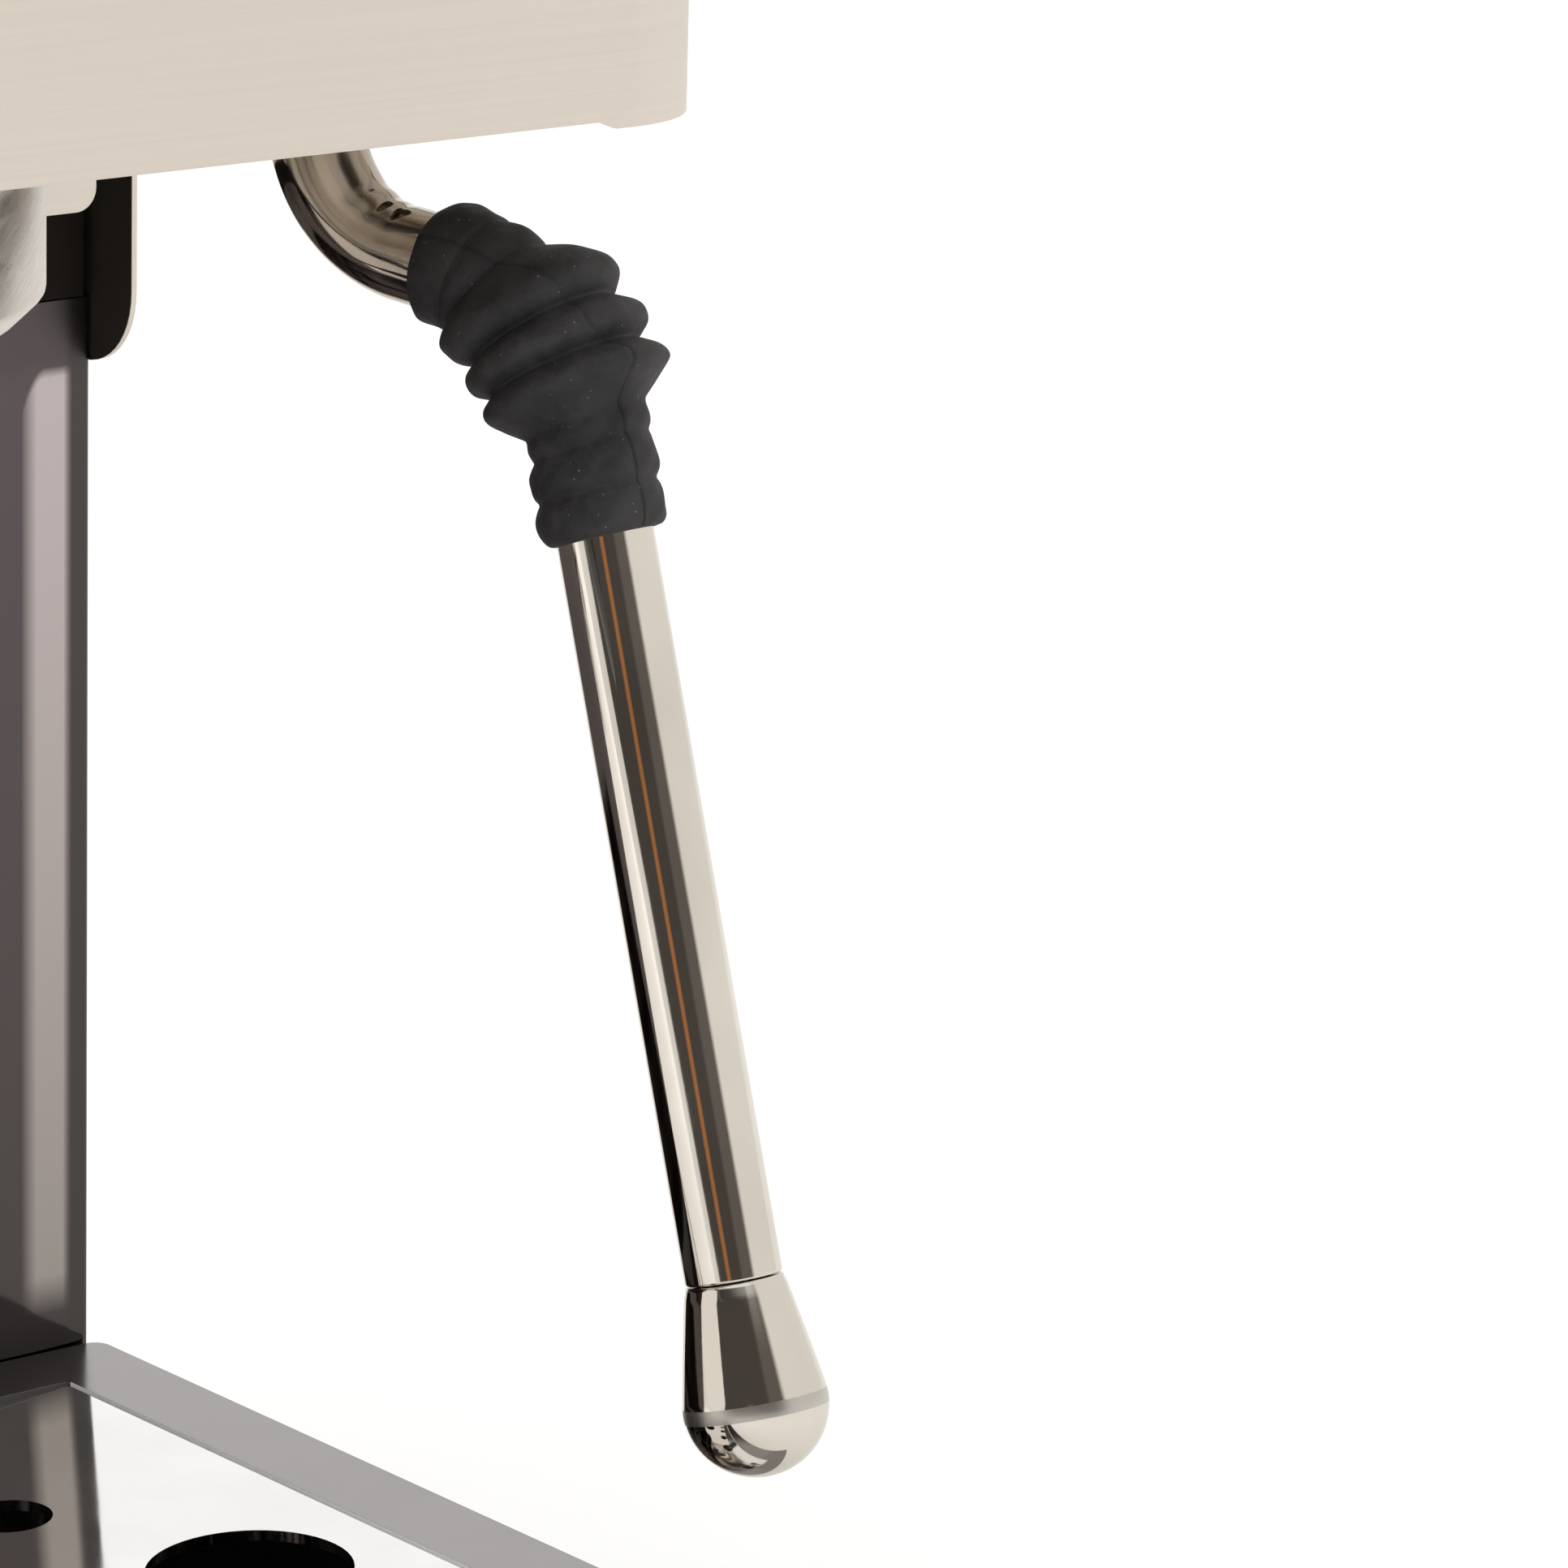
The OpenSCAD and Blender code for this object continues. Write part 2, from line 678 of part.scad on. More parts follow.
// The wand's frame: the ball's centre, looking down the pipe as it leaves the ball.
module wand_frame() {
  translate(ball) rotate([0, 0, wand_heading]) rotate([0, wand_lean, 0])
    rotate([-start_tilt, 0, 0]) children();
}

// Moves down the pipe by a straight length.
module down(length) {
  translate([0, 0, -length]) children();
}

// Moves to the end of a bend of radius r, which turns forward for a positive angle.
module past_bend(r, angle) {
  s = sign(angle) * r;
  translate([0, -s, 0]) rotate([-angle, 0, 0]) translate([0, s, 0]) children();
}

// A bend of the children's section, which starts at the frame's origin pointing down.
module bend(r, angle) {
  rotate([0, 0, angle < 0 ? 180 : 0]) translate([0, -r, 0])
    multmatrix([[0, 0, -1, 0], [1, 0, 0, 0], [0, -1, 0, 0], [0, 0, 0, 1]])
      rotate_extrude(angle = abs(angle)) translate([r, 0]) children();
}

// A straight stretch of the children's section, down from just below the frame's origin.
module run(length) {
  down(length) linear_extrude(length - weld) children();
}

// A ring-shaped section.
module ring(outer, inner) {
  difference() {
    circle(outer);
    circle(inner);
  }
}

// The frame at the start of the lower bend, which the grip wraps.
module grip_frame() {
  wand_frame() down(drop_in) past_bend(bend_r, bend_out) down(bend_gap) children();
}

// The frame at the lower end of the pipe.
module tip_frame() {
  grip_frame() past_bend(bend_r, -bend_down) down(wand_run) children();
}

// Steel steam pipe, bent under the housing and welded to its ball.
module wand_pipe() {
  color("silver") {
    translate(ball) sphere(ball_r);
    wand_frame() {
      run(drop_in) circle(pipe_r);
      down(drop_in) {
        bend(bend_r, bend_out) circle(pipe_r);
        past_bend(bend_r, bend_out) run(bend_gap - weld) circle(pipe_r);
      }
    }
  }
}

// Straight steel tube of the wand, with the elbow inside the grip.
module wand_tube() {
  color("silver") grip_frame() {
    bend(bend_r, -bend_down) circle(pipe_r);
    past_bend(bend_r, -bend_down) run(wand_run) circle(pipe_r);
  }
}

// Rubber bellows grip around the lower bend.
module wand_grip() {
  r = 7.2;
  wide = 9.4;
  bore = pipe_r + 0.02;
  color("black") grip_frame() {
    translate([0, 0, weld]) linear_extrude(6) ring(r, bore);
    bend(bend_r, -bend_down) ring(wide, bore);
    past_bend(bend_r, -bend_down) run(14.6) ring(r, bore);
  }
}

// Bulb-shaped steam tip with one nozzle hole.
module wand_tip() {
  round_z = tip_neck;
  color("silver") tip_frame() mirror([0, 0, 1]) difference() {
    rotate_extrude() {
      polygon([[0, 0.1], [pipe_r, 0.1], [tip_r, round_z], [0, round_z]]);
      translate([0, round_z - eps]) intersection() {
        circle(tip_r);
        square(tip_r);
      }
    }
    translate([0, 0, round_z + tip_r - 4]) cylinder(h = 8, r = 0.9, $fn = 24);
  }
}

// Brass steam valve above the wand's ball.
module steam_valve() {
  top = knob_z + 11;
  socket_z = ball[2] + 3.2;
  color("goldenrod") difference() {
    union() {
      translate([ball[0], ball[1], socket_z]) cylinder(h = 26, r = ball_r + 3);
      box([58, ball[1] - 14, ball[2] + 28], [88, ball[1] + 14, top]);
      rod_y(knob_x, knob_z, 9, face_y + 12, ball[1] - 13);
    }
    translate([ball[0], ball[1], socket_z - 1]) cylinder(h = 9, r = ball_r + 0.6);
    translate([ball[0], ball[1], socket_z]) cylinder(h = 40, r = 3);
    rod_y(knob_x, knob_z, 4.05, face_y, ball[1] + 6);
  }
}

// Spindle that the knob turns in the valve.
module steam_spindle() {
  color("silver") rod_y(knob_x, knob_z, 4, face_y - 26, ball[1] + 4);
}

// Fluted knob of the steam valve.
module steam_knob() {
  r = 20;
  flutes = 10;
  color("black") translate([knob_x, face_y - 8, knob_z]) rotate([90, 0, 0]) difference() {
    union() {
      cylinder(h = 6, r1 = 12, r2 = r);
      translate([0, 0, 6]) cylinder(h = 18, r = r);
      translate([0, 0, 24]) cylinder(h = 4, r1 = r, r2 = r - 4);
    }
    translate([0, 0, -1]) cylinder(h = 19, r = 4.05);
    for (i = [0 : flutes - 1]) rotate([0, 0, i * 360 / flutes]) translate([r + 3.4, 0, -1])
      cylinder(h = 40, r = 6, $fn = 32);
  }
}

// Boiler on the group, with its bolted flange.
module boiler() {
  wall = 2.5;
  h = 72;
  color("darkgoldenrod") translate([0, boiler_y, boiler_z]) difference() {
    union() {
      cylinder(h = h, r = boiler_r);
      translate([0, 0, h - 14]) cylinder(h = 6, r = boiler_r + 6);
    }
    translate([0, 0, wall]) cylinder(h = h - 2 * wall, r = boiler_r - wall);
    for (s = [-1, 1]) translate([s * 18, 0, h - 10]) cylinder(h = 20, r = 4.1);
  }
}

// Electric element inside the boiler.
module heating_element() {
  z = boiler_z + 20;
  color("silver") translate([0, boiler_y, z]) {
    rotate_extrude() translate([18, 0]) circle(4);
    for (s = [-1, 1]) translate([s * 18, 0, 0]) cylinder(h = 58, r = 3.9);
  }
}

// Vibration pump on two rubber blocks.
module pump() {
  y = col_y + 42;
  z = 44;
  color("dimgray") {
    rod_x(y, z, 15, -60, 32);
    rod_x(y, z, 7, -78, -60);
    box([-38, y - 24, z - 22], [6, y + 24, z + 22]);
    for (x = [-36, -6]) box([x, y - 10, floor_z], [x + 10, y + 10, z - 22]);
  }
}

// Three-way valve that vents the group.
module solenoid_valve() {
  x = -66;
  color("dimgray") {
    box([x - 12, gy - 12, pan_z + 3], [x + 12, gy + 12, pan_z + 18]);
    translate([x, gy, pan_z + 18]) cylinder(h = 8, r = 7);
    box([x - 13, gy - 16, pan_z + 26], [x + 13, gy + 6, pan_z + 30]);
  }
}

// Control board on its bracket.
module control_board() {
  x = -78;
  y = col_y + 14;
  color("seagreen") {
    box([x, y, 250], [x + 1.6, y + 56, 330]);
    box([x + 1.6, y + 8, 262], [x + 18, y + 28, 286]);
    box([x + 1.6, y + 34, 296], [x + 14, y + 50, 320]);
    rod_x(y + 40, 274, 7, x + 1.6, x + 22);
  }
}

// Pressure tube from the pump to the boiler.
module feed_pipe() {
  color("peru") tube(smooth([
    [32.2, col_y + 42, 44], [50, col_y + 42, 44], [60, col_y + 42, 60], [60, col_y + 30, 150],
    [60, col_y + 22, 260], [56, col_y + 10, 300], [10, col_y - 8, 322],
    [0, boiler_y + 10, 326], [0, boiler_y + 10, boiler_z + 72.4]
  ], 6), 2);
}

// Steam tube from the boiler to the steam valve.
module steam_pipe() {
  color("peru") tube(smooth([
    [8, boiler_y + 26, boiler_z + 72.4], [8, boiler_y + 26, 322], [20, boiler_y + 24, 327],
    [70, boiler_y, 327], [74, ball[1] + 2, 322], [74, ball[1] + 2, knob_z + 11.4]
  ], 6), 2);
}

// Suction hose from the tank's seat to the pump.
module suction_hose() {
  color("white") tube(smooth([
    [0, tank_y0 + 31, 49.6], [0, tank_y0 + 31, 30], [-20, tank_y0 + 20, 24],
    [-86, tank_y0 + 6, 24], [-88, col_y + 50, 30], [-86, col_y + 42, 44],
    [-78.4, col_y + 42, 44]
  ], 6), 3);
}

// Case of the pressure gauge, behind the housing's front.
module gauge_case() {
  color("dimgray") difference() {
    rod_y(gauge[0], gauge[2], gauge_r + 1.2, face_y, face_y + 18);
    rod_y(gauge[0], gauge[2], gauge_r, face_y - 1, face_y + 16);
  }
}

// Polished ring around the gauge.
module gauge_bezel() {
  color("silver") translate([gauge[0], face_y, gauge[2]]) rotate([90, 0, 0])
    rotate_extrude()
      polygon([
        [gauge_r - 0.4, 0], [gauge_r + 5, 0], [gauge_r + 5, 2.4], [gauge_r + 3.4, 4],
        [gauge_r + 1, 4], [gauge_r - 0.4, 2.6]
      ]);
}

module gauge_dial() {
  color("white") rod_y(gauge[0], gauge[2], gauge_r - 0.2, face_y + 9, face_y + 10);
}

// Pointer of the gauge, resting at zero.
module gauge_needle() {
  long = 16;
  color("black") translate([gauge[0], face_y + 7, gauge[2]]) rotate([90, 0, 0]) {
    cylinder(h = 1.2, r = 2.6);
    rotate([0, 0, 180 + needle_rest])
      translate([0, 0, 0.2]) linear_extrude(0.7)
        polygon([[-5, -1.2], [-5, 1.2], [long, 0.3], [long, -0.3]]);
  }
}

module gauge_glass() {
  color("white", 0.3) rod_y(gauge[0], gauge[2], gauge_r - 0.6, face_y - 1.6, face_y - 0.2);
}

// Black display housing set into the front.
module display_module() {
  color("black") difference() {
    union() {
      box([-25, face_y - 1.6, panel_mid - 11], [25, face_y, panel_mid + 11]);
      box([-23.4, face_y - 1, panel_mid - 9.4], [23.4, face_y + 10, panel_mid + 9.4]);
    }
    box([-21, face_y - 3, panel_mid - 7.5], [21, face_y - 0.6, panel_mid + 7.5]);
  }
}

module display_window() {
  color("darkslategray")
    box([-20.8, face_y - 1.6, panel_mid - 7.3], [20.8, face_y - 0.6, panel_mid + 7.3]);
}

// One round push button of the display.
module push_button(x) {
  color("silver") {
    rod_y(x, button_z, 4.5, face_y - 2.4, face_y + 5);
    rod_y(x, button_z, 5.6, face_y + 2.4, face_y + 4);
  }
}

module button_minus() {
  push_button(-button_x);
}

module button_plus() {
  push_button(button_x);
}

// The three frames that the rocker switches tilt in.
module switch_frames() {
  color("black") for (x = switch_x) difference() {
    union() {
      box([x - 9.5, face_y - 1.6, switch_z - 14], [x + 9.5, face_y, switch_z + 14]);
      box([x - 7.6, face_y - 1, switch_z - 12], [x + 7.6, face_y + 14, switch_z + 12]);
    }
    box([x - 6.3, face_y - 3, switch_z - 11], [x + 6.3, face_y + 12, switch_z + 11]);
  }
}

// One rocker, tilted to its off position.
module rocker(x) {
  half = 9.8;
  pivot_y = face_y + 4;
  translate([x + 6, pivot_y, switch_z]) rotate([0, -90, 0])
    linear_extrude(12) rotate([0, 0, rocker_tilt])
      polygon([[-half, -7], [0, -5.6], [half, -7], [half, -3], [3, 3], [-3, 3], [-half, -3]]);
  rod_x(pivot_y, switch_z, 1.2, x - 6.25, x + 6.25);
}

module power_switch() {
  color("black") rocker(switch_x[0]);
}

module brew_switch() {
  color("black") rocker(switch_x[1]);
}

module steam_switch() {
  color("black") rocker(switch_x[2]);
}

// Three-pole power inlet at the back.
module power_inlet() {
  x = -56;
  z = 39;
  flange_y = rear_y + plate_t;
  color("black") {
    difference() {
      union() {
        box([x - 24, flange_y, z - 12], [x + 24, y_rear, z + 12]);
        box([x - 14, rear_y - 18, z - 11], [x + 14, flange_y + eps, z + 11]);
      }
      box([x - 12, rear_y - 14, z - 8], [x + 12, inf, z + 8]);
    }
    for (p = [[-7, -2], [0, 2], [7, -2]])
      box([x + p[0] - 1, rear_y - 15, z + p[1] - 2], [x + p[0] + 1, rear_y - 4, z + p[1] + 2]);
  }
}

// Button-head screws on the rear panel.
module case_screws() {
  head_y = rear_y + plate_t;
  color("silver")
    for (x = [-88, 88], z = [40, 120, 200, 330]) rod_y(x, z, 3.4, head_y, head_y + 0.7);
}

base_frame();
feet();
drip_tray();
tray_front();
drip_plate();
column_panel();
lower_side_left();
lower_side_right();
rear_panel();
housing_shell();
underside_pan();
fascia();
chassis_frame();
top_tray();
cup_rail();
tank_shelf();
water_tank();
tank_lid();
lid_pin();
group_collar();
group_head();
group_gasket();
shower_screen();
screen_screw();
portafilter();
filter_basket();
portafilter_handle();
spout();
ball_nut();
ball_seat();
wand_pipe();
wand_tube();
wand_grip();
wand_tip();
steam_valve();
steam_spindle();
steam_knob();
boiler();
heating_element();
pump();
solenoid_valve();
control_board();
feed_pipe();
steam_pipe();
suction_hose();
gauge_case();
gauge_bezel();
gauge_dial();
gauge_needle();
gauge_glass();
display_module();
display_window();
button_minus();
button_plus();
switch_frames();
power_switch();
brew_switch();
steam_switch();
power_inlet();
case_screws();
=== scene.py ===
"""Espresso machine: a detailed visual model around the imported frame, in a pale studio."""
import json
import math

import bmesh
import bpy
from mathutils import Matrix, Vector


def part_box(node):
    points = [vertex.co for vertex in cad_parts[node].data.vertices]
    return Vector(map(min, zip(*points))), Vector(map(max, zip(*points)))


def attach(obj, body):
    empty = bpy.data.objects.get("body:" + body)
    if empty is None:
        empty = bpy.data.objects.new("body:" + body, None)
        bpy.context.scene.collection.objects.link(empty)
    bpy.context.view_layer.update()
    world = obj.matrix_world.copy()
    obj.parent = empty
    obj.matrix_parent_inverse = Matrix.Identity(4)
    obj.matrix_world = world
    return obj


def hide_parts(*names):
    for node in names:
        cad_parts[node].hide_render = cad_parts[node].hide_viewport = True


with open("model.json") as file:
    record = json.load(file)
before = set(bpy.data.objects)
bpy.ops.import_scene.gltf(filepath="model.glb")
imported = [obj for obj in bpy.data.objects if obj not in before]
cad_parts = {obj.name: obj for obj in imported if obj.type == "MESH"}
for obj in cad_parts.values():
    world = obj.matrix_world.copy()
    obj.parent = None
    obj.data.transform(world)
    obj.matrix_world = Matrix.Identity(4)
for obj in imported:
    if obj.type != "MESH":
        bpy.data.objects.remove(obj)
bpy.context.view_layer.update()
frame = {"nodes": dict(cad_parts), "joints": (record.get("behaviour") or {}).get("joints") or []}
NODES = frame["nodes"]
JOINTS = {joint["name"]: joint for joint in frame["joints"]}
MM = 0.001
UP = Vector((0, 0, 1))


def mm_box(name):
    """The low and high corner of a CAD node's box, in millimetres."""
    return tuple(tuple(value / MM for value in corner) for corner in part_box(name))


def middle_of(box, axis):
    """The middle of a box along one axis."""
    return (box[0][axis] + box[1][axis]) / 2


COLLAR_BOX = mm_box("group_collar")
PLATE_BOX = mm_box("drip_plate")
COLUMN_BOX = mm_box("column_panel")

# Painted shade: dark matte colour on the inner faces of the housing's lower edge, where shade
# falls.
# It lies within the first of these mm from the middle, behind the second and under the third.
INSIDE_SHADE_X, INSIDE_SHADE_Y, INSIDE_SHADE_Z = 98.3, 3.6, 221.9

# The tray's mouth, a small gap outside the drip plate, and the height of its rim.
PLATE_GAP, RIM_RISE = 0.15, 0.3
MOUTH_X, MOUTH_Y = PLATE_BOX[1][0] + PLATE_GAP, PLATE_BOX[1][1] + PLATE_GAP
RIM_Z = PLATE_BOX[1][2] + RIM_RISE

# A painted reflection: the pale band beside each of the column's edges, where it fades in and
# out, in mm from the middle and in height. Its top corner is round, and the column's foot is
# darker with painted shade.
STRIPE_IN, STRIPE_OUT = (88.5, 90.6), (94.3, 95.5)
STRIPE_FOOT, STRIPE_TOP = (66.5, 71.0), (175.8, 177.0)
CORNER_FROM, CORNER_TO, CORNER_DROP = 88.6, 91.8, 4.2
FOOT_Z, FOOT_TOP, HEAD_Z = 62.0, 66.5, 176.0


# ---------------------------------------------------------------- node graphs
class Graph:
    """A material's or world's node tree, with short calls for the nodes used here."""

    def __init__(self, tree):
        self.tree = tree
        tree.nodes.clear()

    def node(self, kind, inputs=None, **settings):
        node = self.tree.nodes.new(kind)
        for key, value in settings.items():
            setattr(node, key, value)
        for key, value in (inputs or {}).items():
            self.put(value, node.inputs[key])
        return node

    def put(self, value, socket):
        """Links a socket, or sets a plain value."""
        if isinstance(value, bpy.types.NodeSocket):
            self.tree.links.new(value, socket)
        else:
            socket.default_value = value

    def math(self, operation, a, b=0.0):
        return self.node("ShaderNodeMath", {0: a, 1: b}, operation=operation).outputs[0]

    def times(self, *factors):
        """The product of two or more values."""
        product = factors[0]
        for factor in factors[1:]:
            product = self.math("MULTIPLY", product, factor)
        return product

    def place(self, scale=(1, 1, 1)):
        """The object's own coordinates in millimetres, stretched."""
        here = self.node("ShaderNodeTexCoord").outputs["Object"]
        size = tuple(1000 * s for s in scale)
        return self.node("ShaderNodeMapping", {"Vector": here, "Scale": size}).outputs[0]

    def axes(self, vector=None):
        """The X, Y and Z of a vector, or else of the object's own coordinates in millimetres."""
        if vector is None:
            vector = self.place()
        parts = self.node("ShaderNodeSeparateXYZ", {"Vector": vector})
        return parts.outputs[0], parts.outputs[1], parts.outputs[2]

    def noise(self, where, scale, detail=3.0, rough=0.55):
        return self.node("ShaderNodeTexNoise", {
            "Vector": where, "Scale": scale, "Detail": detail, "Roughness": rough}).outputs[0]

    def ramp(self, value, low, high, start=0.0, end=1.0):
        """Maps value from low..high to start..end, held at both ends."""
        node = self.node("ShaderNodeMapRange", {
            "Value": value, "From Min": low, "From Max": high, "To Min": start, "To Max": end})
        return node.outputs[0]

    def mix(self, share, a, b):
        """Colour a where share is 0, and b where it is 1."""
        node = self.node("ShaderNodeMix", {"Factor": share}, data_type="RGBA")
        self.put(rgba(a), node.inputs[6])
        self.put(rgba(b), node.inputs[7])
        return node.outputs[2]

    def bump(self, height, strength, distance, normal=None):
        inputs = {"Height": height, "Strength": strength, "Distance": distance}
        if normal is not None:
            inputs["Normal"] = normal
        return self.node("ShaderNodeBump", inputs).outputs[0]

    def surface(self, **inputs):
        """A Principled shader as the material's surface; Base_Color sets its Base Color."""
        shader = self.node("ShaderNodeBsdfPrincipled")
        for key, value in inputs.items():
            name = key.replace("_", " ")
            self.put(rgba(value) if name in ("Base Color", "Emission Color") else value,
                     shader.inputs[name])
        self.node("ShaderNodeOutputMaterial", {"Surface": shader.outputs[0]})


def rgba(color):
    """A colour with an alpha of 1; a socket stays as it is."""
    if isinstance(color, bpy.types.NodeSocket):
        return color
    return (*color, 1.0) if len(color) == 3 else tuple(color)


def graph(name):
    """A new material and its graph."""
    material = bpy.data.materials.new(name)
    material.use_nodes = True
    return material, Graph(material.node_tree)


# ---------------------------------------------------------------- materials
def brushed_steel(name, light, dark, grain, rough, depth=0.35, shade_inside=False):
    """Steel with fine lines along one axis. grain is the scale along X, Y and Z per mm.
    Its last argument paints shade: dark matte colour on the inner faces of the housing's lower
    edge."""
    material, g = graph(name)
    lines = g.noise(g.place(grain), 1.0, 4.0, 0.65)
    broad = g.noise(g.place((0.012, 0.012, 0.02)), 1.0, 2.0)
    smears = g.noise(g.place(tuple(0.16 * v for v in grain)), 1.0, 3.0)
    tone = g.math("ADD", g.times(lines, 0.62), g.times(smears, 0.38))
    color = g.mix(g.ramp(tone, 0.36, 0.66), dark, light)
    roughness = g.math("ADD", g.ramp(smears, 0.3, 0.7, rough - 0.05, rough + 0.06),
                       g.ramp(broad, 0.3, 0.7, -0.03, 0.03))
    metallic = 1.0
    if shade_inside:
        # Painted shade: inside the housing's lower edge the steel turns dark, matte and not
        # metallic.
        x, y, z = g.axes()
        inner = g.ramp(g.math("ABSOLUTE", x), INSIDE_SHADE_X, INSIDE_SHADE_X + 0.04, 1.0, 0.0)
        under = g.ramp(z, INSIDE_SHADE_Z, INSIDE_SHADE_Z + 0.1, 1.0, 0.0)
        behind = g.ramp(y, INSIDE_SHADE_Y, INSIDE_SHADE_Y + 0.1)
        painted_shade = g.times(inner, under, behind)
        color = g.mix(painted_shade, color, (0.030, 0.024, 0.018))
        roughness = g.math("MAXIMUM", roughness, g.times(painted_shade, 0.6))
        metallic = g.math("SUBTRACT", 1.0, painted_shade)
    g.surface(Base_Color=color, Metallic=metallic, Roughness=roughness,
              Normal=g.bump(lines, depth, 0.00004))
    return material


def polished_steel(name, light, dark, rough, waviness):
    """Near-mirror steel with faint waves, smudges and a few fine hairlines."""
    material, g = graph(name)
    smudge = g.noise(g.place((0.05, 0.05, 0.035)), 1.0, 3.0)
    hair = g.noise(g.place((3.0, 3.0, 0.05)), 1.0, 3.0, 0.7)
    wave = g.noise(g.place((0.06, 0.06, 0.03)), 1.0, 1.0)
    color = g.mix(g.ramp(smudge, 0.35, 0.65), dark, light)
    roughness = g.math("ADD", g.ramp(smudge, 0.35, 0.7, rough * 0.7, rough * 1.6),
                       g.ramp(hair, 0.55, 0.75, 0.0, 0.03))
    coarse = g.bump(wave, waviness, 0.0004)
    g.surface(Base_Color=color, Metallic=1.0, Roughness=roughness,
              Normal=g.bump(hair, 0.05, 0.00002, coarse))
    return material


def column_steel(name):
    """Dark mirror steel; its dark base colour stands for a dark reflection and grows darker
    towards the bottom.
    The pale band beside each edge, round at its top corner, is a painted reflection; the foot and
    outer edge get painted shade."""
    material, g = graph(name)
    x, _, level = g.axes()
    aside = g.math("ABSOLUTE", x)
    # Masks for painted light: shade on the outer edge, and a painted reflection in the pale band
    # beside it.
    painted_edge_shade = g.ramp(aside, *STRIPE_OUT)
    painted_reflection = g.times(g.ramp(aside, *STRIPE_IN), g.ramp(aside, *STRIPE_OUT, 1.0, 0.0))
    near = g.ramp(aside, CORNER_FROM, CORNER_TO, 1.0, 0.0)
    corner = g.math("ADD", level, g.times(near, near, CORNER_DROP))
    ends = g.times(g.ramp(level, *STRIPE_FOOT), g.ramp(corner, *STRIPE_TOP, 1.0, 0.0))
    smudge = g.noise(g.place((0.05, 0.05, 0.02)), 1.0, 3.0)
    # The dark base colour stands for a dark reflection; it and the pale band both darken towards
    # the bottom.
    flat = g.mix(g.ramp(level, FOOT_Z, HEAD_Z), (0.078, 0.070, 0.069), (0.112, 0.096, 0.100))
    pale = g.mix(g.ramp(level, 66.0, HEAD_Z), (0.33, 0.305, 0.285), (0.52, 0.465, 0.470))
    color = g.mix(g.times(painted_reflection, ends), flat, pale)
    # Painted shade at the column's foot, then on its outer edge.
    color = g.mix(g.ramp(level, FOOT_Z, FOOT_TOP, 0.45, 0.0), color, (0.020, 0.021, 0.024))
    color = g.mix(g.times(painted_edge_shade, 0.75), color, (0.066, 0.062, 0.060))
    g.surface(Base_Color=color, Metallic=1.0,
              Roughness=g.math("ADD", g.ramp(smudge, 0.35, 0.7, 0.05, 0.10),
                               g.ramp(level, HEAD_Z - 3, HEAD_Z + 2, 0.0, 0.32)))
    return material


def tray_steel(name):
    """Smooth satin steel, with a painted highlight on the side walls of the tray's mouth and a
    painted dark reflection on its back wall.
    """
    material, g = graph(name)
    x, y, level = g.axes()
    aside = g.math("ABSOLUTE", x)
    # Painted light: a pale matte highlight on the mouth's side walls, and a dark matte reflection
    # on its back wall.
    below = g.ramp(level, RIM_Z - 0.03, RIM_Z - 0.01, 1.0, 0.0)
    at_wall = g.times(g.ramp(aside, MOUTH_X - 0.06, MOUTH_X - 0.04),
                      g.ramp(aside, MOUTH_X + 0.1, MOUTH_X + 0.2, 1.0, 0.0))
    side = g.times(below, at_wall)
    back = g.times(below, g.ramp(y, MOUTH_Y - 0.06, MOUTH_Y - 0.04))
    smudge = g.noise(g.place((0.05, 0.05, 0.035)), 1.0, 3.0)
    color = g.mix(g.ramp(smudge, 0.35, 0.65), (0.285, 0.270, 0.269), (0.310, 0.294, 0.293))
    color = g.mix(back, g.mix(side, color, (0.80, 0.79, 0.77)), (0.05, 0.045, 0.042))
    dull = g.math("MAXIMUM", side, back)
    g.surface(Base_Color=color, Metallic=g.math("SUBTRACT", 1.0, dull),
              Roughness=g.math("MAXIMUM", g.ramp(smudge, 0.35, 0.7, 0.13, 0.22),
                               g.times(dull, 0.6)))
    return material


def collar_steel(name, centre_y, radius):
    """Steel turned round the group's axis, with fine slanting lines."""
    material, g = graph(name)
    x, y, z = g.axes()
    turn = g.math("ARCTAN2", x, g.math("SUBTRACT", y, centre_y))
    arc = g.times(turn, radius)
    climb = g.math("ADD", z, g.times(arc, 0.45))
    fine = g.node("ShaderNodeCombineXYZ", {"X": g.times(arc, 0.35), "Y": g.times(climb, 3.2)})
    broad = g.node("ShaderNodeCombineXYZ", {"X": g.times(arc, 0.16), "Y": g.times(climb, 0.5)})
    lines = g.noise(fine.outputs[0], 1.0, 5.0, 0.7)
    patch = g.noise(broad.outputs[0], 1.0, 2.0)
    tone = g.math("ADD", g.times(lines, 0.7), g.times(patch, 0.3))
    color = g.mix(g.ramp(tone, 0.36, 0.64), (0.55, 0.515, 0.47), (0.77, 0.735, 0.69))
    g.surface(Base_Color=color, Metallic=1.0, Roughness=g.ramp(patch, 0.3, 0.7, 0.24, 0.34),
              Normal=g.bump(lines, 0.12, 0.00005))
    return material


def turned_steel(name, light, dark, rough):
    """Steel turned on a lathe about Z, with fine lines round it."""
    material, g = graph(name)
    lines = g.noise(g.place((0.05, 0.05, 2.6)), 1.0, 5.0, 0.7)
    patch = g.noise(g.place((0.16, 0.16, 0.7)), 1.0, 3.0)
    tone = g.math("ADD", lines, g.times(patch, 0.5))
    g.surface(Base_Color=g.mix(g.ramp(tone, 0.35, 1.05), dark, light), Metallic=1.0,
              Roughness=g.ramp(patch, 0.3, 0.7, rough - 0.06, rough + 0.08),
              Normal=g.bump(lines, 0.3, 0.00006))
    return material


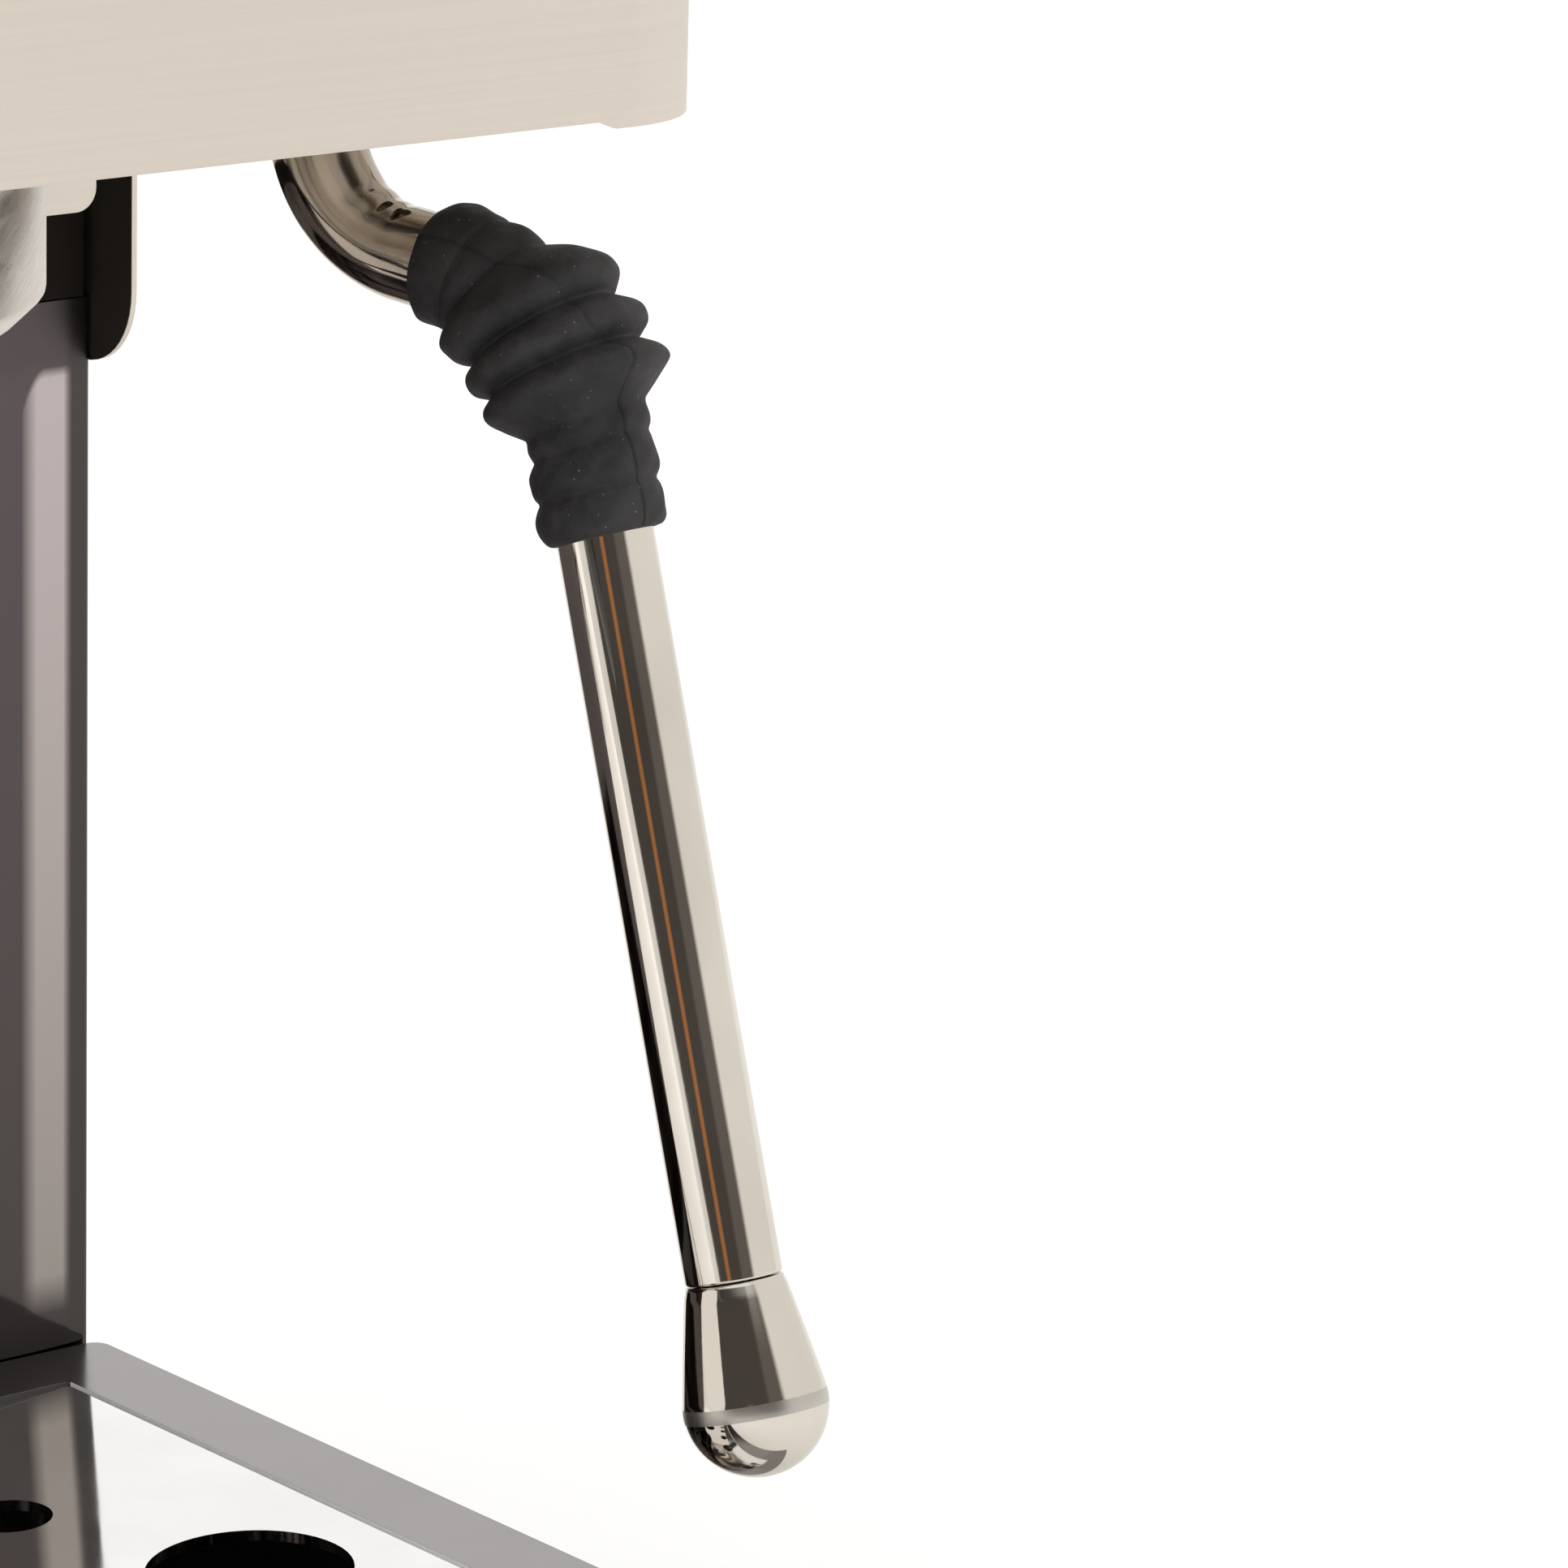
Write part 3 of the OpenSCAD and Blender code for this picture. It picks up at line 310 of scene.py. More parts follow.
def rubber(name, dark, light, specks=True):
    """Matte moulded rubber with a fine pebbled skin and a little lint."""
    material, g = graph(name)
    pebble = g.noise(g.place(), 5.5, 3.0, 0.7)
    soft = g.noise(g.place(), 0.16, 3.0)
    worn = g.noise(g.place(), 0.7, 4.0, 0.7)
    tone = g.math("ADD", soft, g.times(worn, 0.6))
    color = g.mix(g.ramp(tone, 0.6, 1.0), dark, light)
    if specks:
        dust = g.node("ShaderNodeTexVoronoi", {"Vector": g.place(), "Scale": 1.1})
        near = g.ramp(dust.outputs["Distance"], 0.07, 0.13, 1.0, 0.0)
        some = g.ramp(g.noise(g.place(), 0.45, 2.0), 0.5, 0.6)
        color = g.mix(g.times(near, some, 0.55), color, (0.22, 0.21, 0.20))
    g.surface(Base_Color=color, Roughness=g.ramp(worn, 0.3, 0.7, 0.62, 0.82),
              Normal=g.bump(worn, 0.4, 0.0003, g.bump(pebble, 0.5, 0.00014)))
    return material


def plastic(name, dark, light, rough, grain=3.0, depth=0.12, shine=0.5):
    """Moulded plastic with a fine grain, faint mottling and finger marks."""
    material, g = graph(name)
    fine = g.noise(g.place(), grain, 2.0)
    soft = g.noise(g.place(), 0.07, 3.0)
    color = g.mix(g.ramp(soft, 0.35, 0.65), dark, light)
    g.surface(Base_Color=color, Roughness=g.ramp(soft, 0.35, 0.65, rough - 0.05, rough + 0.06),
              Specular_IOR_Level=shine, Normal=g.bump(fine, depth, 0.00005))
    return material


def warm_metal(name, light, dark, rough):
    """Brass or copper with heat stain and a dull skin in places."""
    material, g = graph(name)
    stain = g.noise(g.place(), 0.09, 4.0, 0.6)
    fine = g.noise(g.place((1.4, 1.4, 0.3)), 1.0, 3.0)
    color = g.mix(g.ramp(stain, 0.38, 0.66), dark, light)
    g.surface(Base_Color=color, Metallic=1.0,
              Roughness=g.ramp(stain, 0.35, 0.7, rough + 0.12, rough),
              Normal=g.bump(fine, 0.15, 0.00006))
    return material


def clear(name, tint, rough, ior, waviness):
    """Clear glass or plastic with slight waves."""
    material, g = graph(name)
    wave = g.noise(g.place(), 0.08, 2.0)
    g.surface(Base_Color=tint, Roughness=rough, IOR=ior, Transmission_Weight=1.0,
              Normal=g.bump(wave, waviness, 0.0004))
    return material


def circuit_board(name):
    """Green board with paler tracks and small pads."""
    material, g = graph(name)
    where = g.place()
    track = g.node("ShaderNodeTexBrick", {
        "Vector": where, "Scale": 0.22, "Mortar Size": 0.035,
        "Color1": (0.010, 0.075, 0.030, 1), "Color2": (0.012, 0.090, 0.038, 1),
        "Mortar": (0.045, 0.200, 0.080, 1)})
    pad = g.node("ShaderNodeTexVoronoi", {"Vector": where, "Scale": 0.32})
    copper = g.ramp(pad.outputs["Distance"], 0.14, 0.17, 1.0, 0.0)
    g.surface(Base_Color=g.mix(copper, track.outputs["Color"], (0.62, 0.42, 0.20)),
              Roughness=0.35, Normal=g.bump(copper, 0.3, 0.0001))
    return material


def enamel(name, light, dark, rough=0.3):
    """Even paint or print with a faint mottle."""
    material, g = graph(name)
    soft = g.noise(g.place(), 0.3, 3.0)
    g.surface(Base_Color=g.mix(g.ramp(soft, 0.35, 0.65), dark, light), Roughness=rough,
              Normal=g.bump(g.noise(g.place(), 2.0), 0.08, 0.00004))
    return material


def lit_figures(name):
    """Cool white light with slight unevenness."""
    material, g = graph(name)
    flicker = g.noise(g.place(), 0.8, 2.0)
    g.surface(Base_Color=(0.7, 0.75, 0.8), Roughness=0.4, Emission_Strength=1.1,
              Emission_Color=g.mix(flicker, (0.75, 0.86, 1.0), (0.88, 0.94, 1.0)))
    return material


PANEL = ((0.765, 0.712, 0.645), (0.725, 0.672, 0.603), (0.016, 0.016, 2.2), 0.34, 0.14)
# The housing's steel, with painted shade inside its lower edge.
HOUSING = brushed_steel("housing_steel", *PANEL, shade_inside=True)
PAN = brushed_steel("pan_steel", *PANEL)
TOP_STEEL = brushed_steel("top_steel", (0.76, 0.73, 0.68), (0.64, 0.61, 0.56),
                          (0.022, 2.0, 2.0), 0.34)
SIDE_STEEL = brushed_steel("side_steel", (0.78, 0.735, 0.665), (0.66, 0.62, 0.56),
                           (2.0, 0.022, 2.2), 0.36)
TRAY = tray_steel("tray_steel")
PLATE = polished_steel("plate_steel", (0.90, 0.895, 0.89), (0.84, 0.835, 0.83), 0.05, 0.05)
COLUMN = column_steel("column_steel")
WAND = polished_steel("wand_steel", (0.80, 0.765, 0.70), (0.70, 0.665, 0.60), 0.05, 0.10)
TRIM = polished_steel("trim_steel", (0.78, 0.76, 0.73), (0.70, 0.68, 0.65), 0.10, 0.08)
SATIN = polished_steel("satin_steel", (0.62, 0.60, 0.56), (0.54, 0.52, 0.48), 0.30, 0.05)
COLLAR = collar_steel("group_steel", middle_of(COLLAR_BOX, 1), 40.3)
# Painted shade: the upper pipe gets a darker, browner copy of the wand's steel, for the shaded
# housing it reflects.
SHADED_PIPE = polished_steel("shaded_pipe_steel", (0.56, 0.50, 0.43), (0.38, 0.33, 0.27), 0.06, 0.12)
FINE = turned_steel("fine_steel", (0.70, 0.69, 0.67), (0.52, 0.51, 0.50), 0.26)
BRASS = warm_metal("brass", (0.78, 0.56, 0.24), (0.48, 0.31, 0.12), 0.24)
COPPER = warm_metal("copper", (0.85, 0.47, 0.30), (0.50, 0.23, 0.13), 0.22)
ZINC = turned_steel("zinc_steel", (0.52, 0.52, 0.51), (0.38, 0.38, 0.38), 0.42)
GRIP = rubber("grip_rubber", (0.0110, 0.0102, 0.0108), (0.031, 0.029, 0.0305))
FOOT = rubber("foot_rubber", (0.011, 0.011, 0.012), (0.020, 0.020, 0.020), False)
BLACK = plastic("black_plastic", (0.012, 0.012, 0.013), (0.020, 0.020, 0.021), 0.34)
# Painted shade: the fascia's black plastic, made darker, browner and duller where it lies in
# shade behind the collar.
SHADED_BLACK = plastic("shaded_black_plastic", (0.0125, 0.0088, 0.0070), (0.0150, 0.0108, 0.0086), 0.7,
                shine=0.12)
ROCKER = plastic("rocker_plastic", (0.016, 0.016, 0.017), (0.024, 0.024, 0.025), 0.24)
TANK = clear("clear_plastic", (0.93, 0.96, 0.97, 1), 0.06, 1.46, 0.10)
WHITE = plastic("white_plastic", (0.72, 0.71, 0.68), (0.84, 0.83, 0.80), 0.42)
PUMP = plastic("pump_plastic", (0.10, 0.10, 0.11), (0.15, 0.15, 0.16), 0.45)
BOARD = circuit_board("board")
DIAL = enamel("dial_face", (0.88, 0.87, 0.84), (0.82, 0.81, 0.78))
NEEDLE = enamel("needle_black", (0.03, 0.03, 0.03), (0.02, 0.02, 0.02), 0.35)
WINDOW = plastic("window", (0.010, 0.010, 0.012), (0.014, 0.014, 0.016), 0.08, 1.0, 0.02)
GLASS = clear("clear_glass", (0.98, 0.99, 0.99, 1), 0.01, 1.5, 0.02)
PRINT = enamel("dial_print", (0.035, 0.035, 0.04), (0.03, 0.03, 0.032), 0.5)
LIT = lit_figures("lit_figures")

FINISH = {
    HOUSING: "housing_shell",
    PAN: "tray_front underside_pan",
    SIDE_STEEL: "lower_side_left lower_side_right",
    TOP_STEEL: "top_tray tank_lid rear_panel",
    TRAY: "drip_tray",
    PLATE: "drip_plate",
    COLUMN: "column_panel",
    WAND: "wand_pipe wand_tube wand_tip",
    TRIM: "cup_rail gauge_bezel lid_pin spout portafilter",
    COLLAR: "group_collar ball_nut",
    FINE: "filter_basket shower_screen screen_screw steam_spindle heating_element "
          "case_screws button_minus button_plus",
    BRASS: "group_head steam_valve boiler",
    COPPER: "feed_pipe steam_pipe",
    ZINC: "base_frame chassis_frame tank_shelf",
    GRIP: "wand_grip",
    FOOT: "feet group_gasket",
    BLACK: "portafilter_handle steam_knob display_module switch_frames power_inlet",
    SHADED_BLACK: "fascia",
    ROCKER: "power_switch brew_switch steam_switch",
    TANK: "water_tank",
    WHITE: "suction_hose ball_seat",
    PUMP: "pump solenoid_valve gauge_case",
    BOARD: "control_board",
    DIAL: "gauge_dial",
    NEEDLE: "gauge_needle",
    WINDOW: "display_window",
    GLASS: "gauge_glass",
}
for finish, names in FINISH.items():
    for name in names.split():
        mesh = NODES[name].data
        mesh.materials.clear()
        mesh.materials.append(finish)


# ---------------------------------------------------------------- mesh helpers
def piece(name, mesh, material, body, replaces=()):
    """A finished piece: one mesh object that rides on a body."""
    obj = bpy.data.objects.new(name, mesh)
    bpy.context.scene.collection.objects.link(obj)
    mesh.materials.append(material)
    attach(obj, body)
    if replaces:
        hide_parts(*replaces)
    return obj


def closed_mesh(name, bm):
    """Ends a bmesh: it becomes a mesh of that name."""
    mesh = bpy.data.meshes.new(name)
    bm.to_mesh(mesh)
    bm.free()
    return mesh


def wall(bm, a, b):
    """Faces between two closed rows of as many points."""
    faces = []
    for k in range(len(a)):
        n = (k + 1) % len(a)
        faces.append(bm.faces.new((a[k], a[n], b[n], b[k])))
    return faces


def crease(bm, limit):
    """Marks edges sharp where the faces turn by limit degrees or more."""
    for edge in bm.edges:
        edge.smooth = edge.calc_face_angle(0.0) < math.radians(limit)


def skin(name, rings):
    """A smooth tube through rings of points, with flat ends."""
    bm = bmesh.new()
    rows = [[bm.verts.new(p) for p in ring] for ring in rings]
    for a, b in zip(rows, rows[1:]):
        wall(bm, a, b)
    bm.faces.new(list(reversed(rows[0])))
    bm.faces.new(rows[-1])
    bmesh.ops.recalc_face_normals(bm, faces=bm.faces)
    for face in bm.faces:
        face.smooth = len(face.verts) < 5
    return closed_mesh(name, bm)


def plates(name, outlines, front, back):
    """Flat shapes facing -Y, cut from one sheet between front and back. Each outline is
    (x, z) points, and everything is in millimetres."""
    bm = bmesh.new()
    for outline in outlines:
        ahead, behind = [[bm.verts.new((x * MM, y * MM, z * MM)) for x, z in outline]
                         for y in (front, back)]
        bm.faces.new(ahead)
        bm.faces.new(list(reversed(behind)))
        wall(bm, ahead, behind)
    bmesh.ops.recalc_face_normals(bm, faces=bm.faces)
    return closed_mesh(name, bm)


def lathe(name, centre, profile, segments=192):
    """A ring turned about Z through `centre`, from a closed outline of (radius, z), in mm."""
    bm = bmesh.new()
    turns = [2 * math.pi * k / segments for k in range(segments)]
    rows = [[bm.verts.new(((centre[0] + r * math.cos(a)) * MM, (centre[1] + r * math.sin(a)) * MM,
                           z * MM)) for a in turns] for r, z in profile]
    for a, b in zip(rows, rows[1:] + rows[:1]):
        for face in wall(bm, a, b):
            face.smooth = True
    bmesh.ops.recalc_face_normals(bm, faces=bm.faces)
    crease(bm, 35)
    return closed_mesh(name, bm)


def upright(name, outline, low, high):
    """A sheet with that outline of (x, y) points, standing from low to high, in mm."""
    bm = bmesh.new()
    foot, head = [[bm.verts.new(Vector((x, y, z)) * MM) for x, y in outline]
                  for z in (low, high)]
    for face in wall(bm, foot, head):
        face.smooth = True
    ends = [bm.faces.new(list(reversed(foot))), bm.faces.new(head)]
    bmesh.ops.recalc_face_normals(bm, faces=bm.faces)
    crease(bm, 30)
    bmesh.ops.triangulate(bm, faces=ends)
    return closed_mesh(name, bm)


def steps(start, end, size):
    """Even steps from start to end, about `size` apart."""
    count = max(1, round(abs(end - start) / size))
    return [start + (end - start) * k / count for k in range(count + 1)]


def eased(rows, at):
    """Smooth values at `at` through rows of (key, value, ...), with rising keys."""
    last = len(rows) - 1
    i = next((k for k in range(last) if rows[k + 1][0] >= at), last - 1)
    before, first = rows[max(i - 1, 0)], rows[i]
    second, after = rows[i + 1], rows[min(i + 2, last)]
    span = second[0] - first[0]
    t = (at - first[0]) / span
    values = []
    for k in range(1, len(first)):
        leave = (second[k] - before[k]) / (second[0] - before[0]) * span
        arrive = (after[k] - first[k]) / (after[0] - first[0]) * span
        values.append((2 * t ** 3 - 3 * t ** 2 + 1) * first[k]
                      + (t ** 3 - 2 * t ** 2 + t) * leave
                      + (3 * t ** 2 - 2 * t ** 3) * second[k]
                      + (t ** 3 - t ** 2) * arrive)
    return values


# ---------------------------------------------------------------- steam wand
# The wand lies in one plane through its ball: a short drop, a bend outwards, a gap, a bend back
# down inside the grip, and a straight run to the tip. Lengths are in mm along its middle line.
swivel, tilt = JOINTS["wand_swivel"], JOINTS["wand_tilt"]
BALL = Vector(swivel["pos_m"])
HEADING = math.atan2(tilt["axis"][1], tilt["axis"][0])
LEAN = math.radians(5)
START = math.radians(-2)
BALL_R, PIPE_R, BEND_R = 10.0, 5.0, 14.2
DROP, GAP, RUN = 11.3, 10.0, 90.5
BEND_OUT, BEND_DOWN = math.radians(84), math.radians(66)
GRIP_START = DROP + BEND_R * BEND_OUT + GAP
RUN_START = GRIP_START + BEND_R * BEND_DOWN
TUBE_END = RUN_START + RUN
ROUND = 96

ahead = Vector((math.sin(HEADING), -math.cos(HEADING), 0))
across = Vector((math.cos(HEADING), math.sin(HEADING), 0))
upward = math.cos(LEAN) * UP + math.sin(LEAN) * across
beside = math.cos(LEAN) * across - math.sin(LEAN) * UP


def heading_down(angle):
    """Direction in the wand's plane, angle away from straight down."""
    return math.sin(angle) * ahead - math.cos(angle) * upward


def outward(angle):
    """Square to heading_down, towards the outside of the wand's lower bend."""
    return math.cos(angle) * ahead + math.sin(angle) * upward


def route(s):
    """(point in mm from the ball, angle) at s mm along the wand's middle line."""
    at, angle = Vector(), START
    for kind, size in (("run", DROP), ("turn", BEND_OUT), ("run", GAP), ("turn", -BEND_DOWN),
                       ("run", RUN)):
        if kind == "run":
            step = s if size == RUN else min(s, size)
            at = at + step * heading_down(angle)
            s -= step
        else:
            turned = min(s, BEND_R * abs(size)) / BEND_R * (1 if size > 0 else -1)
            side = math.copysign(BEND_R, size)
            centre = at + side * outward(angle)
            angle += turned
            at = centre - side * outward(angle)
            s -= BEND_R * abs(turned)
        if s <= 0:
            break
    return at, angle


def around(middle, angle, spokes):
    """Points round `middle` in metres, square to heading_down(angle), from spokes of
    (turn, radius)."""
    out = outward(angle)
    return [BALL + MM * (middle + radius * (math.cos(turn) * out + math.sin(turn) * beside))
            for turn, radius in spokes]


FULL_TURN = [2 * math.pi * k / ROUND for k in range(ROUND)]


def ring_at(s, radius, shape=None):
    """Points round the wand's middle line at s; shape(s, turn) adds to the radius."""
    at, angle = route(s)
    return around(at, angle, [(turn, radius + (shape(s, turn) if shape else 0.0))
                              for turn in FULL_TURN])


# Upper pipe with its ball, a little flattened and rippled inside the bend. Each ripple is its
# share of the way round the bend, its depth and its width.
RIPPLES = ((0.62, 0.16, 1.5), (0.80, 0.22, 1.2), (0.93, 0.15, 1.0))
BALL_ROWS = 32


def bend_marks(s, turn):
    """What the bend adds to the pipe's radius, in mm."""
    from_start = s - DROP
    length = BEND_R * BEND_OUT
    squeeze = math.exp(-((from_start - length / 2) / 9) ** 2)
    oval = -0.14 * squeeze * math.cos(turn) ** 2 + 0.12 * squeeze * math.sin(turn) ** 2
    inside = math.exp(-((1 - abs(math.cos(turn / 2))) / 0.10) ** 2)
    ripple = sum(depth * math.exp(-((from_start - length * share) / width) ** 2)
                 for share, depth, width in RIPPLES)
    return oval - ripple * inside


neck = math.asin(PIPE_R / BALL_R)
pipe_rings = []
for k in range(1, BALL_ROWS + 1):
    lat = math.pi - (math.pi - neck) * k / BALL_ROWS
    pipe_rings.append(around(BALL_R * math.cos(lat) * heading_down(START), START,
                             [(turn, BALL_R * math.sin(lat)) for turn in FULL_TURN]))
pipe_rings += [ring_at(s, PIPE_R, bend_marks)
               for s in steps(BALL_R * math.cos(neck) + 0.4, GRIP_START - 1.0, 0.45)]
piece("steam_pipe_upper", skin("steam_pipe_upper", pipe_rings), SHADED_PIPE, "steam_wand",
      ["wand_pipe"])

# Straight tube, from inside the grip down to the tip, with finer steps where it leaves the bend
# and a small round at its end.
END_ROUND = ((0.30, 0.0), (0.24, 0.008), (0.17, 0.04), (0.10, 0.10), (0.05, 0.16))
tube_rings = [ring_at(s, PIPE_R) for s in steps(GRIP_START + 0.5, RUN_START + 14, 0.7)
              + steps(RUN_START + 17, TUBE_END - 0.35, 3.0)]
tube_rings += [ring_at(TUBE_END - gap, PIPE_R - cut) for gap, cut in END_ROUND]
piece("steam_tube", skin("steam_tube", tube_rings), WAND, "steam_wand",
      ["wand_tube"])

# Tip: a cone that swells to a round nose, with a fine joint line and a nozzle hole. The profile
# is (place after the tube's end, radius). A satin band lies where the cone meets the nose.
TIP_NECK, TIP_R = 12.8, 7.45
SATIN_AT, SATIN_HALF = TIP_NECK - 0.1, 0.95
HOLE_R, HOLE_EDGE, HOLE_DEPTH = 0.70, 0.86, 2.5
slope = (TIP_R - PIPE_R) / TIP_NECK
profile = [(0.06, PIPE_R - 0.16), (0.24, PIPE_R + 0.02), (0.5, PIPE_R + 0.08)]
profile += [(z, PIPE_R + 0.05 + slope * z * (1.12 - 0.12 * z / TIP_NECK))
            for z in steps(1.2, TIP_NECK - 0.6, 0.6)]
profile += [(TIP_NECK + TIP_R * math.sin(a), TIP_R * math.cos(a))
            for a in steps(0.02, math.pi / 2 - 0.13, 0.05)]
satin_rows = [k for k, (z, r) in enumerate(profile) if abs(z - SATIN_AT) < SATIN_HALF]
nose = TIP_NECK + TIP_R
profile += [(nose - 0.04, HOLE_EDGE), (nose - 0.30, HOLE_R), (nose - HOLE_DEPTH, HOLE_R)]
tip_rings = [ring_at(TUBE_END + z, r) for z, r in profile]
tip = piece("steam_tip", skin("steam_tip", tip_rings), WAND, "steam_wand",
            ["wand_tip"])
tip.data.materials.append(SATIN)
for face in tip.data.polygons:
    if face.index // ROUND in satin_rows:
        face.material_index = 1

# Rubber bellows. Each row is the place along the wand in mm from the start of its lower bend,
# the tilt of the ring in degrees, its shift outwards and its radius.
BELLOWS = [
    (-6.15, 82, 0.0, 5.10), (-6.10, 82, 0.0, 5.75), (-5.65, 82, 0.1, 6.20),
    (-4.4, 81, 0.3, 6.50), (-2.8, 75, 0.2, 6.45), (-1.9, 72, 0.15, 6.38),
    (-1.45, 70, 0.1, 6.12), (-1.0, 67, 0.0, 6.32), (0.0, 60, -0.2, 6.62),
    (1.0, 53, -0.45, 6.45), (1.45, 51, -0.5, 6.30), (2.1, 48, -0.55, 7.0),
    (3.3, 43, -0.55, 8.55), (4.6, 39.5, -0.5, 9.45), (5.8, 37.5, -0.5, 9.75),
    (6.9, 37, -0.7, 9.45), (7.9, 36.5, -0.9, 8.55), (8.5, 36, -1.0, 7.75),
    (9.1, 35, -1.05, 8.45), (10.0, 33.5, -1.0, 9.45), (11.1, 32.5, -1.0, 9.85),
    (12.1, 32, -1.0, 9.55), (12.9, 31.5, -1.0, 8.65), (13.4, 31, -0.95, 8.05),
    (13.9, 30, -0.8, 8.60), (14.8, 28.5, -0.5, 9.65), (15.7, 27.5, -0.4, 9.92),
    (16.4, 27.7, -0.35, 9.55), (17.4, 28, -0.15, 8.35), (18.4, 28, 0.0, 7.15),
    (19.0, 28, 0.05, 6.52), (19.5, 27, 0.1, 6.32), (20.6, 26, 0.15, 6.44),
    (21.3, 25.5, 0.2, 6.28), (21.9, 25, 0.2, 6.04), (22.5, 24, 0.2, 6.28),
    (23.4, 23, 0.15, 6.56), (24.8, 22, 0.1, 6.64), (25.7, 21.5, 0.1, 6.46),
    (26.4, 21, 0.1, 6.08), (27.0, 20.5, 0.1, 6.34), (28.0, 19.5, 0.05, 6.62),
    (29.4, 19, 0.0, 6.56), (30.3, 19, 0.0, 6.30), (30.9, 19.2, 0.0, 5.75),
    (31.05, 19.5, 0.0, 5.08),
]

# The mould seam: (place along the grip, its turn in degrees), and across it (steps of
# SEAM_WIDTH from its middle, height in mm).
SEAM_PATH = [(-7, -62), (2, -50), (9, -34), (12, -33), (14.5, -16), (19, -22), (26, -17),
             (32, -15)]
SEAM_WIDTH, SEAM_EDGE = 0.013, 2.4
SEAM_RIDGE = ((-SEAM_EDGE, 0.0), (-1, -0.09), (0, 0.06), (1, -0.09), (SEAM_EDGE, 0.0))
GRIP_ROUND = 144


def wobble(s, turn):
    """Soft unevenness of moulded rubber, in mm."""
    return (0.09 * math.sin(3 * turn + 0.8 * s) * math.sin(0.45 * s + 1.0)
            + 0.05 * math.sin(7 * turn - 1.3 * s) + 0.035 * math.sin(11 * turn + 2.1 * s))


def grip_ring(s):
    """One ring of the bellows: the seam's narrow steps, then the rest of the way round."""
    angle, shift, radius = eased(BELLOWS, s)
    seam = math.radians(eased(SEAM_PATH, s)[0])
    turns = [(seam + step * SEAM_WIDTH, rise) for step, rise in SEAM_RIDGE]
    rest = 2 * math.pi - 2 * SEAM_EDGE * SEAM_WIDTH
    turns += [(seam + SEAM_EDGE * SEAM_WIDTH + rest * k / GRIP_ROUND, 0.0)
              for k in range(1, GRIP_ROUND)]
    at, own = route(GRIP_START + s)
    return around(at + shift * outward(own), math.radians(angle),
                  [(turn, radius + rise + wobble(s, turn)) for turn, rise in turns])


grip_rings = [grip_ring(s) for s in steps(BELLOWS[0][0], BELLOWS[-1][0], 0.14)]
piece("bellows_grip", skin("bellows_grip", grip_rings), GRIP, "steam_wand",
      ["wand_grip"])


# ---------------------------------------------------------------- gauge
dial_box = mm_box("gauge_dial")
dial_x, dial_z, dial_face = middle_of(dial_box, 0), middle_of(dial_box, 2), dial_box[0][1]
needle_sweep = max(abs(angle) for angle in JOINTS["needle_turn"]["range_deg"])
NEEDLE_REST = 220
TICKS, LONG_EVERY, ARC_STEPS = 30, 5, 48
LONG_TICK, SHORT_TICK = (13.2, 0.42), (15.8, 0.2)
TICK_END, ARC_IN, ARC_OUT = 17.6, 17.75, 18.1


def dial_angle(share):
    """The direction on the dial at a share of the needle's sweep."""
    return math.radians(NEEDLE_REST - needle_sweep * share)


def tick(angle, inside, half_wide):
    """The outline of one tick: a thin bar pointing at the dial's middle."""
    c, s = math.cos(angle), math.sin(angle)
    corners = ((inside, -half_wide), (TICK_END, -half_wide), (TICK_END, half_wide),
               (inside, half_wide))
    return [(dial_x + r * c - w * s, dial_z + r * s + w * c) for r, w in corners]


marks = [tick(dial_angle(k / TICKS), *(LONG_TICK if k % LONG_EVERY == 0 else SHORT_TICK))
         for k in range(TICKS + 1)]
arc = [dial_angle(k / ARC_STEPS) for k in range(ARC_STEPS + 1)]
for a, b in zip(arc, arc[1:]):
    marks.append([(dial_x + r * math.cos(t), dial_z + r * math.sin(t))
                  for r, t in ((ARC_IN, a), (ARC_OUT, a), (ARC_OUT, b), (ARC_IN, b))])
piece("gauge_print", plates("gauge_print", marks, dial_face - 0.06, dial_face + 0.02),
      PRINT, "machine")


# ---------------------------------------------------------------- display figures
# Two seven-segment figures. A segment is the ends of its middle line, in digit widths.
SEGMENTS = {"a": (0, 2, 1, 2), "b": (1, 1, 1, 2), "c": (1, 0, 1, 1), "d": (0, 0, 1, 0),
            "e": (0, 0, 0, 1), "f": (0, 1, 0, 2), "g": (0, 1, 1, 1)}
FIGURES = ((-5.4, "abcdfg"), (1.2, "abcdg"))
DIGIT, THICK, POINT, SHOULDER = 4.2, 0.42, 0.3, 0.7
window_box = mm_box("display_window")
window_x, window_z, window_face = (middle_of(window_box, 0), middle_of(window_box, 2),
                                   window_box[0][1])


def segment(key, shift):
    """The outline of one lit segment: a bar with pointed ends."""
    x0, z0, x1, z1 = SEGMENTS[key]
    left, right = (window_x + shift + x * DIGIT for x in (x0, x1))
    low, high = (window_z + (z - 1) * DIGIT for z in (z0, z1))
    if z0 == z1:
        return [(left + POINT, low), (left + SHOULDER, low - THICK),
                (right - SHOULDER, low - THICK), (right - POINT, low),
                (right - SHOULDER, low + THICK), (left + SHOULDER, low + THICK)]
    return [(left, low + POINT), (left + THICK, low + SHOULDER),
            (left + THICK, high - SHOULDER), (left, high - POINT),
            (left - THICK, high - SHOULDER), (left - THICK, low + SHOULDER)]


bars = [segment(key, shift) for shift, lit in FIGURES for key in lit]
piece("display_figures", plates("display_figures", bars, window_face - 0.04,
                                window_face + 0.02), LIT, "machine")


